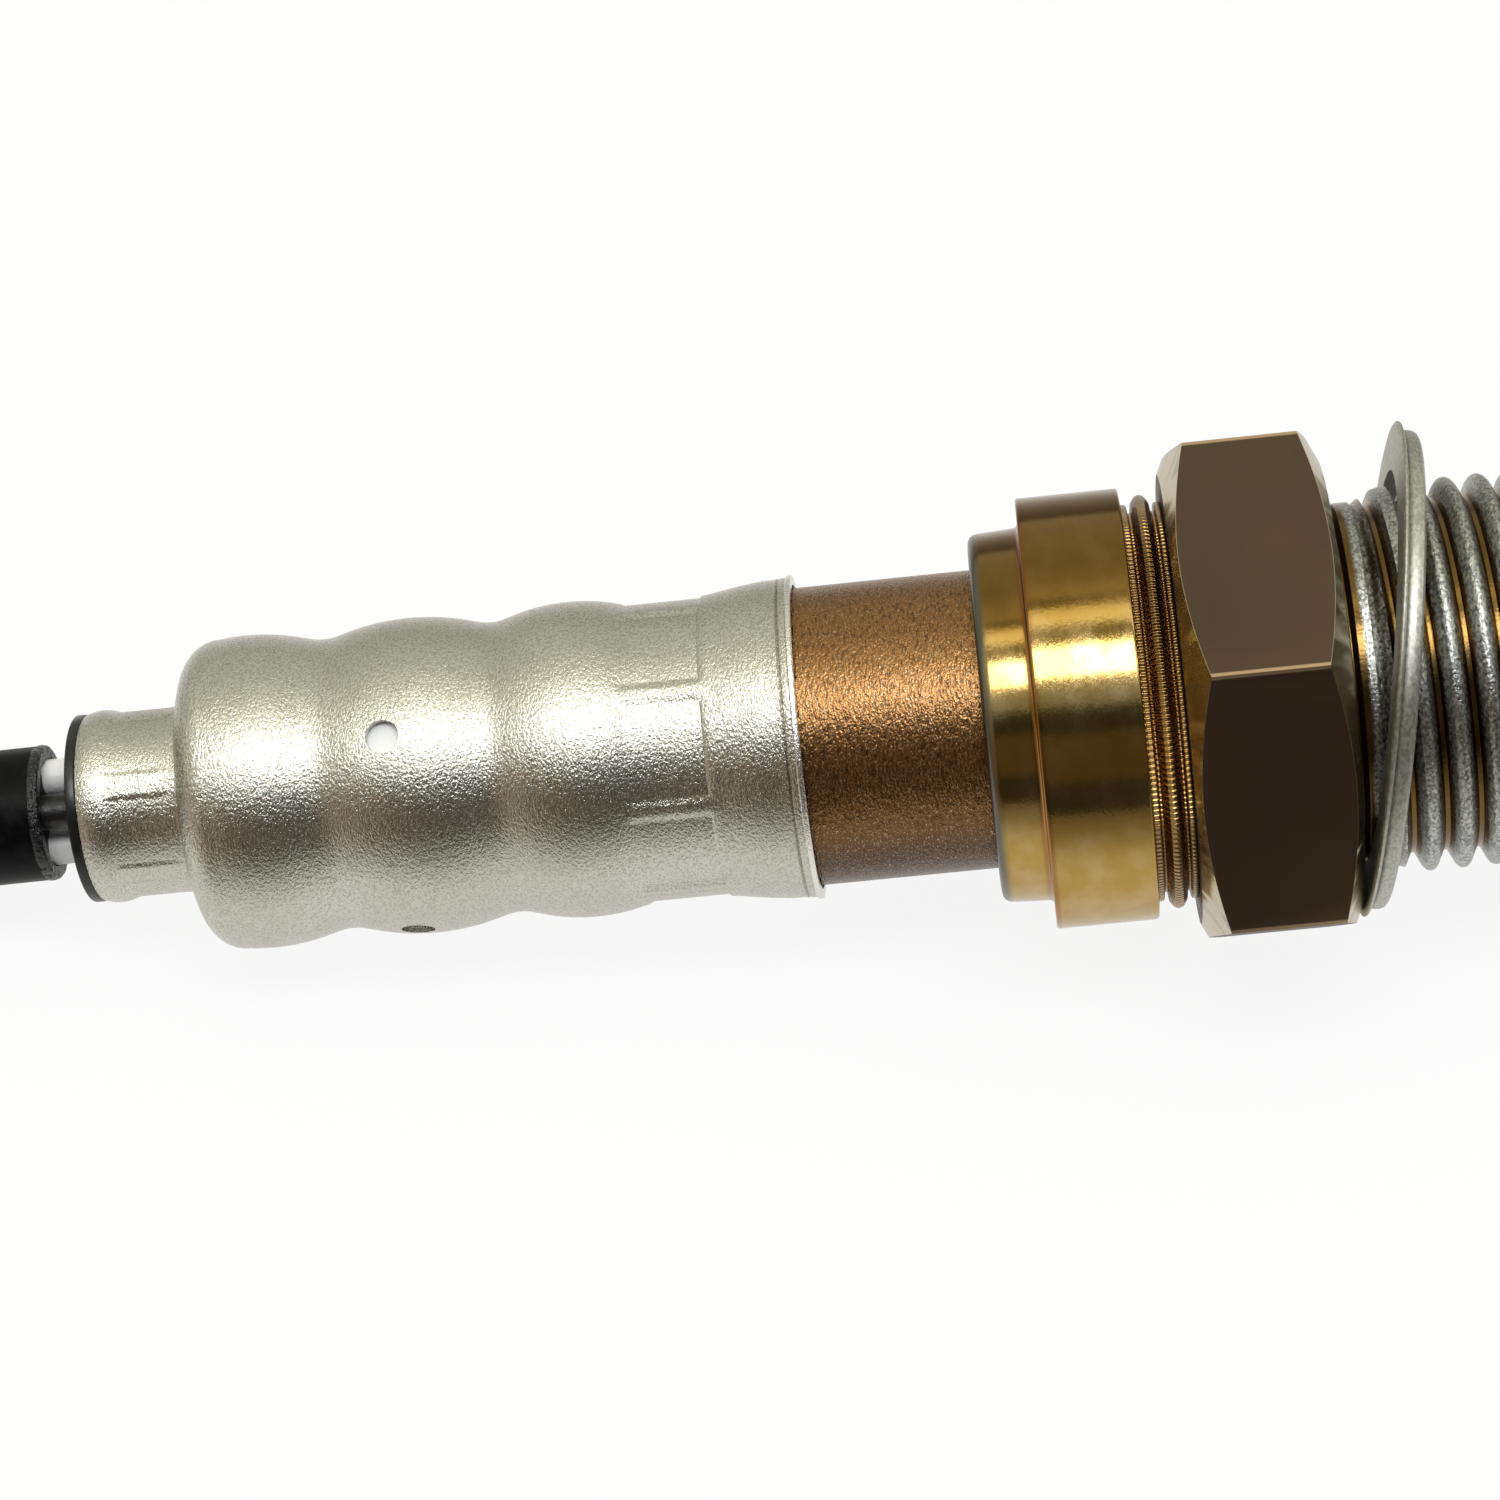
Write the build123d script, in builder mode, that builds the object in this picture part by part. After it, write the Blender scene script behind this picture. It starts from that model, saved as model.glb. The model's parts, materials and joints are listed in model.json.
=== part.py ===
from build123d import *
from math import asin, atan2, cos, degrees, hypot, radians, sin, sqrt, tan
import os

# A four-wire heated oxygen sensor lying at rest, with its sleeved lead folded once into a tied hank
# behind it and ending in a sealed plug. Millimetres, +Z up, the surface it lies on at z = 0.
# The sensor points along +X. It rests on the rear bulge of its outer sleeve and on the rear edge of
# one flat of its hexagon, so its tip stands a little higher than its tail.
#
# A station is a distance along the sensor's axis from the front face of the hexagon, positive
# towards the tip. A round angle is measured about that axis from +Y over the top.

# Hexagon, collar, neck and thread of the body
hex_across_flats = 22.0
hex_length = 7.26
hex_face_diameter = 20.8
hex_chamfer_angle = 25.0
ribs_length = 1.88
rib_groove_diameter = 17.5
narrow_rib_height = 0.4
narrow_rib_width = 0.32
wide_rib_height = 0.8
wide_rib_width = 0.9
collar_diameter = 19.9
collar_length = 4.71
collar_edge_radius = 0.15
lip_diameter = 17.2
lip_length = 2.35
lip_edge_radius = 0.9
lip_thickness = 0.9
lip_overhang = 0.3
neck_diameter = 16.5
neck_length = 2.6
neck_groove_depth = 0.22
neck_groove_width = 0.5
thread_diameter = 17.9
thread_length = 6.8
thread_runout = 2.0
thread_lead = 0.9
nose_length = 0.9

# Bore of the body, and the seal of ceramic and talc packed in it
cavity_wall = 0.95
shank_bore_diameter = 12.4
nose_wall = 0.8
nose_recess_diameter = 14.2
nose_recess_depth = 1.25
nose_lip_thickness = 0.5
seat_depth = 1.2
packing_clearance = 0.05
flange_thickness = 0.5
crimp_washer_thickness = 1.0
crimp_washer_bore = 7.0
rear_guide_length = 7.0
talc_length = 2.9

# Sensing element and the double tube that shields its tip
element_width = 4.2
element_thickness = 1.5
element_tip_gap = 3.4
outer_tube_diameter = 12.0
outer_tube_wall = 0.5
outer_tube_reach = 14.0
inner_tube_diameter = 8.2
inner_tube_wall = 0.4
inner_tube_gap = 1.1
tube_end_radius = 0.9
tube_lip_clearance = 0.1
gas_hole_diameter = 2.2
gas_hole_count = 6
gas_hole_rows = (4.0, 9.5)
end_vent_diameter = 1.8

# Inner sleeve
sleeve_diameter = 13.8
sleeve_wall = 0.4
sleeve_seat_diameter = 12.92
sleeve_rear_diameter = 11.6
bare_sleeve_length = 8.2
sleeve_taper = 1.3

# Outer sleeve: a drawn shell with two rolled grooves, a jaw-crimped band and a jaw-crimped neck
shell_wall = 0.4
crimp_fit = 0.07
flare_length = 4.2
flare_gap = 0.12
flare_swell = 0.06
band_length = 3.9
band_ridge_height = 0.09
band_ridge_width = 0.75
band_jaws = 8
band_jaw_angle = 34.2
front_bulge_length = 6.0
front_bulge_height = 0.735
front_crest_distance = 3.3
middle_bulge_length = 7.9
middle_bulge_height = 0.755
rear_bulge_length = 7.4
rear_bulge_height = 0.71
rear_crest_distance = 4.1
shoulder_radius = 1.9
shell_neck_diameter = 8.4
shell_neck_length = 4.1
neck_crest_height = 0.31
neck_crest_distance = 0.7
neck_rim_height = 0.15
neck_mark_length = 2.6
neck_ridge_height = 0.2
neck_ridge_width = 1.4
neck_jaws = 6
neck_jaw_angle = 21.5
jaw_mark_slope = 0.25
jaw_mark_reach = 0.6
vent_hole_diameter = 1.55
vent_hole_count = 4
vent_hole_angle = 18.5
vent_hole_distance = 3.3
membrane_thickness = 0.3
membrane_fit = 0.05
membrane_overlap = 0.9

# Contacts on the element and the insulators round them
insulator_fit = 0.1
holder_front = 18.5
holder_length = 14.0
holder_slot_width = 4.8
spring_front = 20.0
spring_length = 4.0
spring_thickness = 1.2
contact_front = 20.5
contact_width = 1.4
contact_thickness = 0.4
contact_spread = 1.1
contact_reach = 1.5
contact_gap = 0.05
contact_side_room = 0.2
barrel_wall = 0.27
barrel_length = 5.5
insulator_length = 6.0
insulator_gap = 3.7

# Grommet and wires
grommet_lip_thickness = 0.5
grommet_lip_overhang = 0.05
grommet_lip_edge = 0.15
grommet_shoulder_diameter = 9.8
grommet_shoulder_length = 3.6
wire_diameter = 1.65
wire_circle_diameter = 3.3
wire_fit = 0.04
wire_angle = 33.5
wire_names = ("white_wire_1", "black_wire", "white_wire_2", "grey_wire")
contact_names = ("heater_contact_1", "signal_contact", "heater_contact_2", "ground_contact")

# Sealing ring, a folded steel gasket loose on the neck that leans on the hexagon
ring_width = 2.25
ring_play = 0.3
ring_back_thickness = 0.3
ring_fold_thickness = 0.8
ring_fold_step = 0.4
ring_seam_depth = 0.12
ring_lean = 9.4
ring_lean_angle = 33.5
ring_shift = 0.4
ring_seat_gap = 0.05

# Cable sleeve, with a short gap between it and the grommet where the wires show
cable_wall = 0.61
cable_bore_clearance = 0.15
cable_gap = 1.8
socket_depth = 3.0
first_run = 7.0

# Cable tie
tie_station = -130.0
tie_width = 4.6
tie_thickness = 1.0
tie_squeeze = 0.25
tie_corner_radius = 2.2
tie_head_length = 6.0
tie_head_width = 6.6
tie_head_height = 3.2
tie_tail_length = 1.2

# Plug: an in-line four-way connector with a sealed nose and a latch on top
plug_gap = 9.0
plug_width = 18.0
plug_height = 11.0
plug_length = 20.0
plug_edge_radius = 1.5
plug_cap_length = 3.0
plug_cap_inset = 0.8
plug_nose_length = 9.0
plug_nose_inset = 1.7
plug_nose_radius = 1.6
plug_wall = 1.2
plug_seal_length = 5.0
wire_pitch = 3.8
terminal_size = 2.2
terminal_fit = 0.08
terminal_slot_width = 1.6
terminal_slot_height = 0.7
lock_thickness = 1.2
lock_inset = 1.2
face_seal_length = 2.6
face_seal_swell = 0.7
latch_width = 7.0
latch_length = 15.0
latch_thickness = 1.3
latch_gap = 1.2
latch_root_length = 2.4
latch_pad_height = 0.8
latch_pad_length = 1.8
rail_width = 1.3
rail_gap = 0.8
wire_bend_radius = 4.0

cable_diameter = wire_circle_diameter + wire_diameter + cable_bore_clearance + 2 * cable_wall
cable_radius = cable_diameter / 2

# The cable's centre line where it is free. Its first two points are worked out from the sensor:
# the end of the cable sleeve, and the end of its first run in line with the grommet.
free_route = [
    (-58.6, -0.3, 4.45),
    (-67.3, -1.4, cable_radius),
    (-75.8, -2.6, cable_radius),
]
# The cable's centre line round the hank, flat on the surface, from the end of the free cable to
# the end of the cable sleeve at the plug.
hank_route = [
    (-75.8, -2.6),
    (-84.3, -3.8),
    (-98.0, -4.6),
    (-114.0, -4.1),
    (-138.0, -3.5),
    (-153.0, -8.7),
    (-172.2, -22.3),
    (-188.6, -20.4),
    (-199.5, -8.2),
    (-199.4, 8.2),
    (-188.4, 20.5),
    (-172.0, 22.3),
    (-153.0, 8.9),
    (-138.0, 3.4),
    (-124.0, 3.7),
    (-112.0, 5.2),
    (-102.3, 7.62),
]

# Stations along the sensor
hex_rear = -hex_length
collar_front = hex_rear - ribs_length
collar_rear = collar_front - collar_length
lip_rear = collar_rear - lip_length
shell_rim = lip_rear - bare_sleeve_length
band_front = shell_rim - flare_length
band_rear = band_front - band_length
front_groove = band_rear - front_bulge_length
rear_groove = front_groove - middle_bulge_length
shell_rear = rear_groove - rear_bulge_length
neck_rim = shell_rear - shell_neck_length
grommet_rear = neck_rim - grommet_lip_thickness
cable_end = grommet_rear - cable_gap
thread_front = neck_length + thread_runout + thread_length
nose_front = thread_front + thread_lead + nose_length
nose_recess_rear = nose_front - nose_lip_thickness - nose_recess_depth
tip = nose_front + outer_tube_reach
cavity_rear = lip_rear + lip_thickness
shoulder_rear = shell_rear + shell_wall + packing_clearance
shoulder_front = shoulder_rear + grommet_shoulder_length
insulator_rear = shoulder_front + insulator_gap
insulator_front = insulator_rear + insulator_length
barrel_rear = insulator_front + packing_clearance
contact_rear = barrel_rear + barrel_length
element_rear = contact_rear + contact_reach

# Radii that follow from what fits inside what
cavity_radius = lip_diameter / 2 - cavity_wall
packing_radius = cavity_radius - packing_clearance
nose_radius = nose_recess_diameter / 2 + nose_wall
band_radius = sleeve_seat_diameter / 2 + crimp_fit + shell_wall
rim_radius = sleeve_diameter / 2 + flare_gap + shell_wall
membrane_radius = sleeve_rear_diameter / 2 + membrane_fit + membrane_thickness
groove_radius = membrane_radius + membrane_fit + shell_wall
rear_crest_radius = groove_radius + rear_bulge_height
shell_neck_radius = shell_neck_diameter / 2
spring_radius = sleeve_diameter / 2 - sleeve_wall - packing_clearance
holder_radius = spring_radius - spring_thickness - packing_clearance
insulator_radius = sleeve_rear_diameter / 2 - sleeve_wall - insulator_fit
wire_radius = wire_diameter / 2
wire_circle_radius = wire_circle_diameter / 2
cable_bore_radius = cable_radius - cable_wall
ring_thickness = ring_back_thickness + ring_fold_thickness

# The pose at rest: one straight line of the surface touches the arc of the rear bulge and the rear
# edge of the bottom flat, where the chamfer runs out.
hex_flat_rear = hex_rear + (hex_across_flats - hex_face_diameter) / 2 * tan(radians(hex_chamfer_angle))
rear_crest = rear_groove - rear_crest_distance
rear_arc_radius = (rear_crest_distance**2 + rear_bulge_height**2) / (2 * rear_bulge_height)
rear_arc_centre = rear_crest_radius - rear_arc_radius
contact_run = hex_flat_rear - rear_crest
contact_rise = hex_across_flats / 2 - rear_arc_centre
tilt = atan2(contact_rise, contact_run) - asin(rear_arc_radius / hypot(contact_run, contact_rise))
seat_height = hex_across_flats / 2 * cos(tilt) - hex_flat_rear * sin(tilt)

# The origin is under the middle of the sensor, between the grommet's lip and the tube's end.
grommet_lip_radius = shell_neck_radius + neck_rim_height + grommet_lip_overhang
rear_reach = (grommet_rear + grommet_lip_edge) * cos(tilt) - grommet_lip_edge
rear_reach -= (grommet_lip_radius - grommet_lip_edge) * sin(tilt)
tip_reach = (tip - tube_end_radius) * cos(tilt) + tube_end_radius
tip_reach += (outer_tube_diameter / 2 - tube_end_radius) * sin(tilt)
seat_x = -(rear_reach + tip_reach) / 2

seat = Vector(seat_x, 0, seat_height)
along = Vector(cos(tilt), 0, sin(tilt))
across_up = Vector(-sin(tilt), 0, cos(tilt))
sensor_axis = Axis(tuple(seat), tuple(along))
axis_plane = Plane(origin=seat, x_dir=along, z_dir=(0, -1, 0))


def outward(angle):
    """The unit vector away from the sensor's axis at a round angle."""
    return Vector(0, 1, 0) * cos(radians(angle)) + across_up * sin(radians(angle))


def across(station):
    """The plane square to the axis at a station, +X towards +Y and +Y upwards."""
    return Plane(origin=seat + along * station, x_dir=(0, 1, 0), z_dir=along)


def meridian(angle):
    """The half plane of (station, radius) at a round angle."""
    return Plane(origin=seat, x_dir=along, z_dir=along.cross(outward(angle)))


def facing_out(station, angle):
    """The plane through the axis at a station that looks outwards at a round angle."""
    return Plane(origin=seat + along * station, x_dir=along, z_dir=outward(angle))


def round_angles(first, count):
    """Evenly spaced round angles."""
    return [first + 360 / count * i for i in range(count)]


def tube_outline(rear, front, inner_radius, outer_radius):
    """The (station, radius) outline of a plain tube or disc."""
    return [(rear, inner_radius), (front, inner_radius), (front, outer_radius), (rear, outer_radius)]


def wire_spots(radius=wire_circle_radius):
    """Where the four wires cross a plane square to the axis."""
    angles = round_angles(wire_angle, len(wire_names))
    return [(radius * cos(radians(a)), radius * sin(radians(a))) for a in angles]


def cord_radii(points):
    """The radius of the arc at each corner of a cord's route, as large as its two runs allow."""
    corners = [Vector(*p) for p in points]
    radii = []
    for before, corner, after in zip(corners, corners[1:], corners[2:]):
        turn = (corner - before).get_angle(after - corner)
        run = min((corner - before).length, (after - corner).length)
        radii.append(0.45 * run / tan(radians(turn / 2)))
    return radii


def save(piece, name):
    """Labels a finished piece and writes it."""
    piece.part.label = name
    export_step(piece.part, f"parts/{name}.step")


os.makedirs("parts", exist_ok=True)


# ------------------------------------------------------------------------------- threaded body
with BuildPart() as hexagon:
    hex_corner_radius = hex_across_flats / sqrt(3)
    chamfer_top = hex_corner_radius + 0.5
    chamfer_run = (chamfer_top - hex_face_diameter / 2) * tan(radians(hex_chamfer_angle))
    with BuildSketch(across(hex_rear)):
        RegularPolygon(hex_across_flats / 2, 6, major_radius=False)
    extrude(amount=hex_length)
    with BuildSketch(axis_plane):
        Polygon(
            (hex_rear, 0),
            (hex_rear, hex_face_diameter / 2),
            (hex_rear + chamfer_run, chamfer_top),
            (-chamfer_run, chamfer_top),
            (0, hex_face_diameter / 2),
            (0, 0),
            align=None,
        )
    revolve(axis=sensor_axis, mode=Mode.INTERSECT)

with BuildPart() as hex_body:
    rib_base = rib_groove_diameter / 2
    narrow_rib = rib_base + narrow_rib_height
    wide_rib_middle = (hex_rear + collar_front) / 2
    wide_rib_rear = wide_rib_middle - wide_rib_width / 2
    wide_rib_front = wide_rib_middle + wide_rib_width / 2
    neck_radius = neck_diameter / 2
    groove_floor = neck_radius - neck_groove_depth
    groove_pitch = neck_length / 2
    with BuildSketch(axis_plane):
        with BuildLine():
            Polyline(
                (wide_rib_rear, rib_base),
                (collar_front + narrow_rib_width, rib_base),
                (collar_front + narrow_rib_width, narrow_rib),
                (collar_front, narrow_rib),
                (collar_front, collar_diameter / 2),
                (collar_rear, collar_diameter / 2),
                (collar_rear, lip_diameter / 2),
                (lip_rear, lip_diameter / 2),
                (lip_rear, cavity_radius - lip_overhang),
                (cavity_rear, cavity_radius - lip_overhang),
                (cavity_rear, cavity_radius),
                (-seat_depth, cavity_radius),
                (-seat_depth, shank_bore_diameter / 2),
                (nose_recess_rear, shank_bore_diameter / 2),
                (nose_recess_rear, nose_recess_diameter / 2),
                (nose_front - nose_lip_thickness, nose_recess_diameter / 2),
                (nose_front - nose_lip_thickness, outer_tube_diameter / 2 + tube_lip_clearance),
                (nose_front, outer_tube_diameter / 2 + tube_lip_clearance),
                (nose_front, nose_radius),
                (thread_front + thread_lead, nose_radius),
                (thread_front, thread_diameter / 2),
                (neck_length + thread_runout, thread_diameter / 2),
                (neck_length, neck_radius),
                (groove_pitch + neck_groove_width / 2, neck_radius),
                (groove_pitch, groove_floor),
                (groove_pitch - neck_groove_width / 2, neck_radius),
                (neck_groove_width, neck_radius),
                (neck_groove_width / 2, groove_floor),
                (0, neck_radius),
                (hex_rear, neck_radius),
                (hex_rear, narrow_rib),
                (hex_rear - narrow_rib_width, narrow_rib),
                (hex_rear - narrow_rib_width, rib_base),
                (wide_rib_front, rib_base),
            )
            ThreePointArc(
                (wide_rib_front, rib_base),
                (wide_rib_middle, rib_base + wide_rib_height),
                (wide_rib_rear, rib_base),
            )
        turned_face = make_face()
        outer_corner = turned_face.vertices().sort_by_distance((lip_rear, lip_diameter / 2))[0]
        fillet(outer_corner, lip_edge_radius)
    revolve(axis=sensor_axis)
    add(hexagon)
    with BuildSketch(axis_plane):
        Polygon(*tube_outline(hex_rear, -seat_depth, 0, cavity_radius), align=None)
        Polygon(*tube_outline(-seat_depth, 0, 0, shank_bore_diameter / 2), align=None)
    revolve(axis=sensor_axis, mode=Mode.SUBTRACT)
save(hex_body, "hex_body")


# ---------------------------------------------------------------------------------- sealing ring
ring_lean_up = outward(ring_lean_angle)
ring_normal = along * cos(radians(ring_lean)) - ring_lean_up * sin(radians(ring_lean))
ring_up = ring_lean_up * cos(radians(ring_lean)) + along * sin(radians(ring_lean))
leaning_reach = (hex_face_diameter / 2 + ring_shift) * sin(radians(ring_lean))
ring_station = (leaning_reach + ring_thickness / 2 + ring_seat_gap) / cos(radians(ring_lean))
ring_centre = seat + along * ring_station + ring_lean_up * ring_shift

with BuildPart() as sealing_ring:
    ring_back = -ring_thickness / 2
    ring_seam = ring_back + ring_back_thickness
    ring_front = ring_thickness / 2
    ring_inside = (thread_diameter + ring_play) / 2
    ring_outside = ring_inside + ring_width
    fold_outside = ring_outside - ring_fold_step
    rim_rise = ring_back_thickness / 2
    with BuildSketch(Plane(origin=ring_centre, x_dir=ring_normal, z_dir=ring_normal.cross(ring_up))):
        with BuildLine():
            Polyline(
                (ring_seam, fold_outside - ring_seam_depth),
                (ring_seam, ring_outside - rim_rise),
            )
            ThreePointArc(
                (ring_seam, ring_outside - rim_rise),
                ((ring_back + ring_seam) / 2, ring_outside),
                (ring_back, ring_outside - rim_rise),
            )
            Polyline(
                (ring_back, ring_outside - rim_rise),
                (ring_back, ring_inside),
                (ring_front, ring_inside),
                (ring_front, fold_outside - ring_fold_thickness / 2),
            )
            ThreePointArc(
                (ring_front, fold_outside - ring_fold_thickness / 2),
                (ring_front - 0.13, fold_outside - 0.13),
                (ring_front - ring_fold_thickness / 2, fold_outside),
            )
            Line(
                (ring_front - ring_fold_thickness / 2, fold_outside),
                (ring_seam, fold_outside - ring_seam_depth),
            )
        make_face()
    revolve(axis=Axis(tuple(ring_centre), tuple(ring_normal)))
save(sealing_ring, "sealing_ring")


# --------------------------------------------------------------- packing between body and element
flange_rear = cavity_rear + packing_clearance
flange_front = flange_rear + flange_thickness
washer_front = flange_front + crimp_washer_thickness
rear_guide_front = washer_front + rear_guide_length
talc_front = rear_guide_front + talc_length
guide_head_front = -seat_depth - packing_clearance
guide_shank_front = nose_recess_rear - packing_clearance
element_front = tip - outer_tube_wall - inner_tube_gap - element_tip_gap


def element_slot(station):
    """The outline of the slot for the sensing element."""
    with BuildSketch(across(station)) as slot:
        Rectangle(element_width + 2 * packing_clearance, element_thickness + 2 * packing_clearance)
    return slot.sketch


with BuildPart() as crimp_washer:
    with BuildSketch(axis_plane):
        Polygon(*tube_outline(flange_front, washer_front, crimp_washer_bore / 2, packing_radius), align=None)
    revolve(axis=sensor_axis)
save(crimp_washer, "crimp_washer")

with BuildPart() as rear_ceramic_guide:
    with BuildSketch(axis_plane):
        Polygon(*tube_outline(washer_front, rear_guide_front, 0, packing_radius), align=None)
    revolve(axis=sensor_axis)
    extrude(element_slot(washer_front), amount=rear_guide_length, mode=Mode.SUBTRACT)
save(rear_ceramic_guide, "rear_ceramic_guide")

with BuildPart() as talc_packing:
    with BuildSketch(axis_plane):
        Polygon(*tube_outline(rear_guide_front, talc_front, 0, packing_radius), align=None)
    revolve(axis=sensor_axis)
    extrude(element_slot(rear_guide_front), amount=talc_length, mode=Mode.SUBTRACT)
save(talc_packing, "talc_packing")

with BuildPart() as front_ceramic_guide:
    shank_radius = shank_bore_diameter / 2 - packing_clearance
    with BuildSketch(axis_plane):
        Polygon(*tube_outline(talc_front, guide_head_front, 0, packing_radius), align=None)
        Polygon(*tube_outline(guide_head_front, guide_shank_front, 0, shank_radius), align=None)
    revolve(axis=sensor_axis)
    extrude(element_slot(talc_front), amount=guide_shank_front - talc_front, mode=Mode.SUBTRACT)
save(front_ceramic_guide, "front_ceramic_guide")

with BuildPart() as sensing_element:
    with BuildSketch(across(element_rear)):
        Rectangle(element_width, element_thickness)
    extrude(amount=element_front - element_rear)
save(sensing_element, "sensing_element")


# -------------------------------------------------------------------------------- protection tubes
def protection_tube(diameter, wall, flange_start, end, hole_rows, hole_diameter, hole_angle):
    """A deep-drawn tube with a flange at its mouth, a vented flat end and rows of gas holes."""
    radius = diameter / 2
    flange_radius = nose_recess_diameter / 2 - packing_clearance
    with BuildPart() as tube:
        with BuildSketch(axis_plane):
            Polygon(
                (flange_start, radius - wall),
                (end - wall, radius - wall),
                (end - wall, end_vent_diameter / 2),
                (end, end_vent_diameter / 2),
                (end, radius),
                (flange_start + flange_thickness, radius),
                (flange_start + flange_thickness, flange_radius),
                (flange_start, flange_radius),
                align=None,
            )
            corner = vertices().sort_by_distance((end, radius))[0]
            fillet(corner, tube_end_radius)
        revolve(axis=sensor_axis)
        spots = [(row, angle) for row in hole_rows for angle in round_angles(hole_angle, gas_hole_count)]
        with BuildSketch(*[facing_out(nose_front + row, angle) for row, angle in spots]):
            Circle(hole_diameter / 2)
        extrude(amount=radius + wall, mode=Mode.SUBTRACT)
    return tube


inner_flange_rear = nose_recess_rear + packing_clearance
outer_flange_rear = inner_flange_rear + flange_thickness
inner_tube_end = tip - outer_tube_wall - inner_tube_gap
inner_protection_tube = protection_tube(
    inner_tube_diameter,
    inner_tube_wall,
    inner_flange_rear,
    inner_tube_end,
    [sum(gas_hole_rows) / len(gas_hole_rows)],
    gas_hole_diameter * 0.7,
    180 / gas_hole_count,
)
outer_protection_tube = protection_tube(
    outer_tube_diameter,
    outer_tube_wall,
    outer_flange_rear,
    tip,
    gas_hole_rows,
    gas_hole_diameter,
    0,
)
save(inner_protection_tube, "inner_protection_tube")
save(outer_protection_tube, "outer_protection_tube")


# ------------------------------------------------------------------------------------ inner sleeve
sleeve_rear = shell_rear + shell_wall + grommet_shoulder_length + 2 * packing_clearance
seat_radius = sleeve_seat_diameter / 2
seat_rear = band_rear - sleeve_taper / 2
bare_rear = band_front + sleeve_taper * 2

with BuildPart() as inner_sleeve:
    outside = [
        (sleeve_rear, sleeve_rear_diameter / 2),
        (seat_rear - sleeve_taper, sleeve_rear_diameter / 2),
        (seat_rear, seat_radius),
        (band_front, seat_radius),
        (bare_rear, sleeve_diameter / 2),
        (flange_rear, sleeve_diameter / 2),
    ]
    inside = [(station, radius - sleeve_wall) for station, radius in outside[:-1]]
    flange = [
        (flange_rear, packing_radius),
        (flange_front, packing_radius),
        (flange_front, sleeve_diameter / 2 - sleeve_wall),
    ]
    with BuildSketch(axis_plane):
        Polygon(*outside, *flange, *reversed(inside), align=None)
    revolve(axis=sensor_axis)
    vent_station = rear_groove + vent_hole_distance
    inner_vents = round_angles(vent_hole_angle + 180 / vent_hole_count, vent_hole_count)
    with BuildSketch(*[facing_out(vent_station, angle) for angle in inner_vents]):
        Circle(vent_hole_diameter / 2)
    extrude(amount=sleeve_diameter / 2, mode=Mode.SUBTRACT)
save(inner_sleeve, "inner_sleeve")

membrane_middle = (rear_groove + front_groove) / 2
membrane_swell = middle_bulge_height - membrane_fit
membrane_bore = membrane_radius - membrane_thickness
with BuildPart() as vent_membrane:
    with BuildSketch(axis_plane):
        with BuildLine():
            Polyline(
                (rear_groove, membrane_radius),
                (rear_groove - membrane_overlap, membrane_radius),
                (rear_groove - membrane_overlap, membrane_bore),
                (rear_groove, membrane_bore),
            )
            ThreePointArc(
                (rear_groove, membrane_bore),
                (membrane_middle, membrane_bore + membrane_swell),
                (front_groove, membrane_bore),
            )
            Polyline(
                (front_groove, membrane_bore),
                (front_groove + membrane_overlap, membrane_bore),
                (front_groove + membrane_overlap, membrane_radius),
                (front_groove, membrane_radius),
            )
            ThreePointArc(
                (front_groove, membrane_radius),
                (membrane_middle, membrane_radius + membrane_swell),
                (rear_groove, membrane_radius),
            )
        make_face()
    revolve(axis=sensor_axis)
save(vent_membrane, "vent_membrane")


# ------------------------------------------------------------------------------------ outer sleeve
def jaw_mark(rear, front, floor_radius, rear_slope, front_slope, angles):
    """The outline of a jaw's bite into the shell between two stations, where each bite starts."""
    top = floor_radius + jaw_mark_reach
    with BuildSketch(*[meridian(angle) for angle in angles]) as bite:
        Polygon(
            (rear, floor_radius),
            (front, floor_radius),
            (front + front_slope, top),
            (rear - rear_slope, top),
            align=None,
        )
    return bite.sketch


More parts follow.
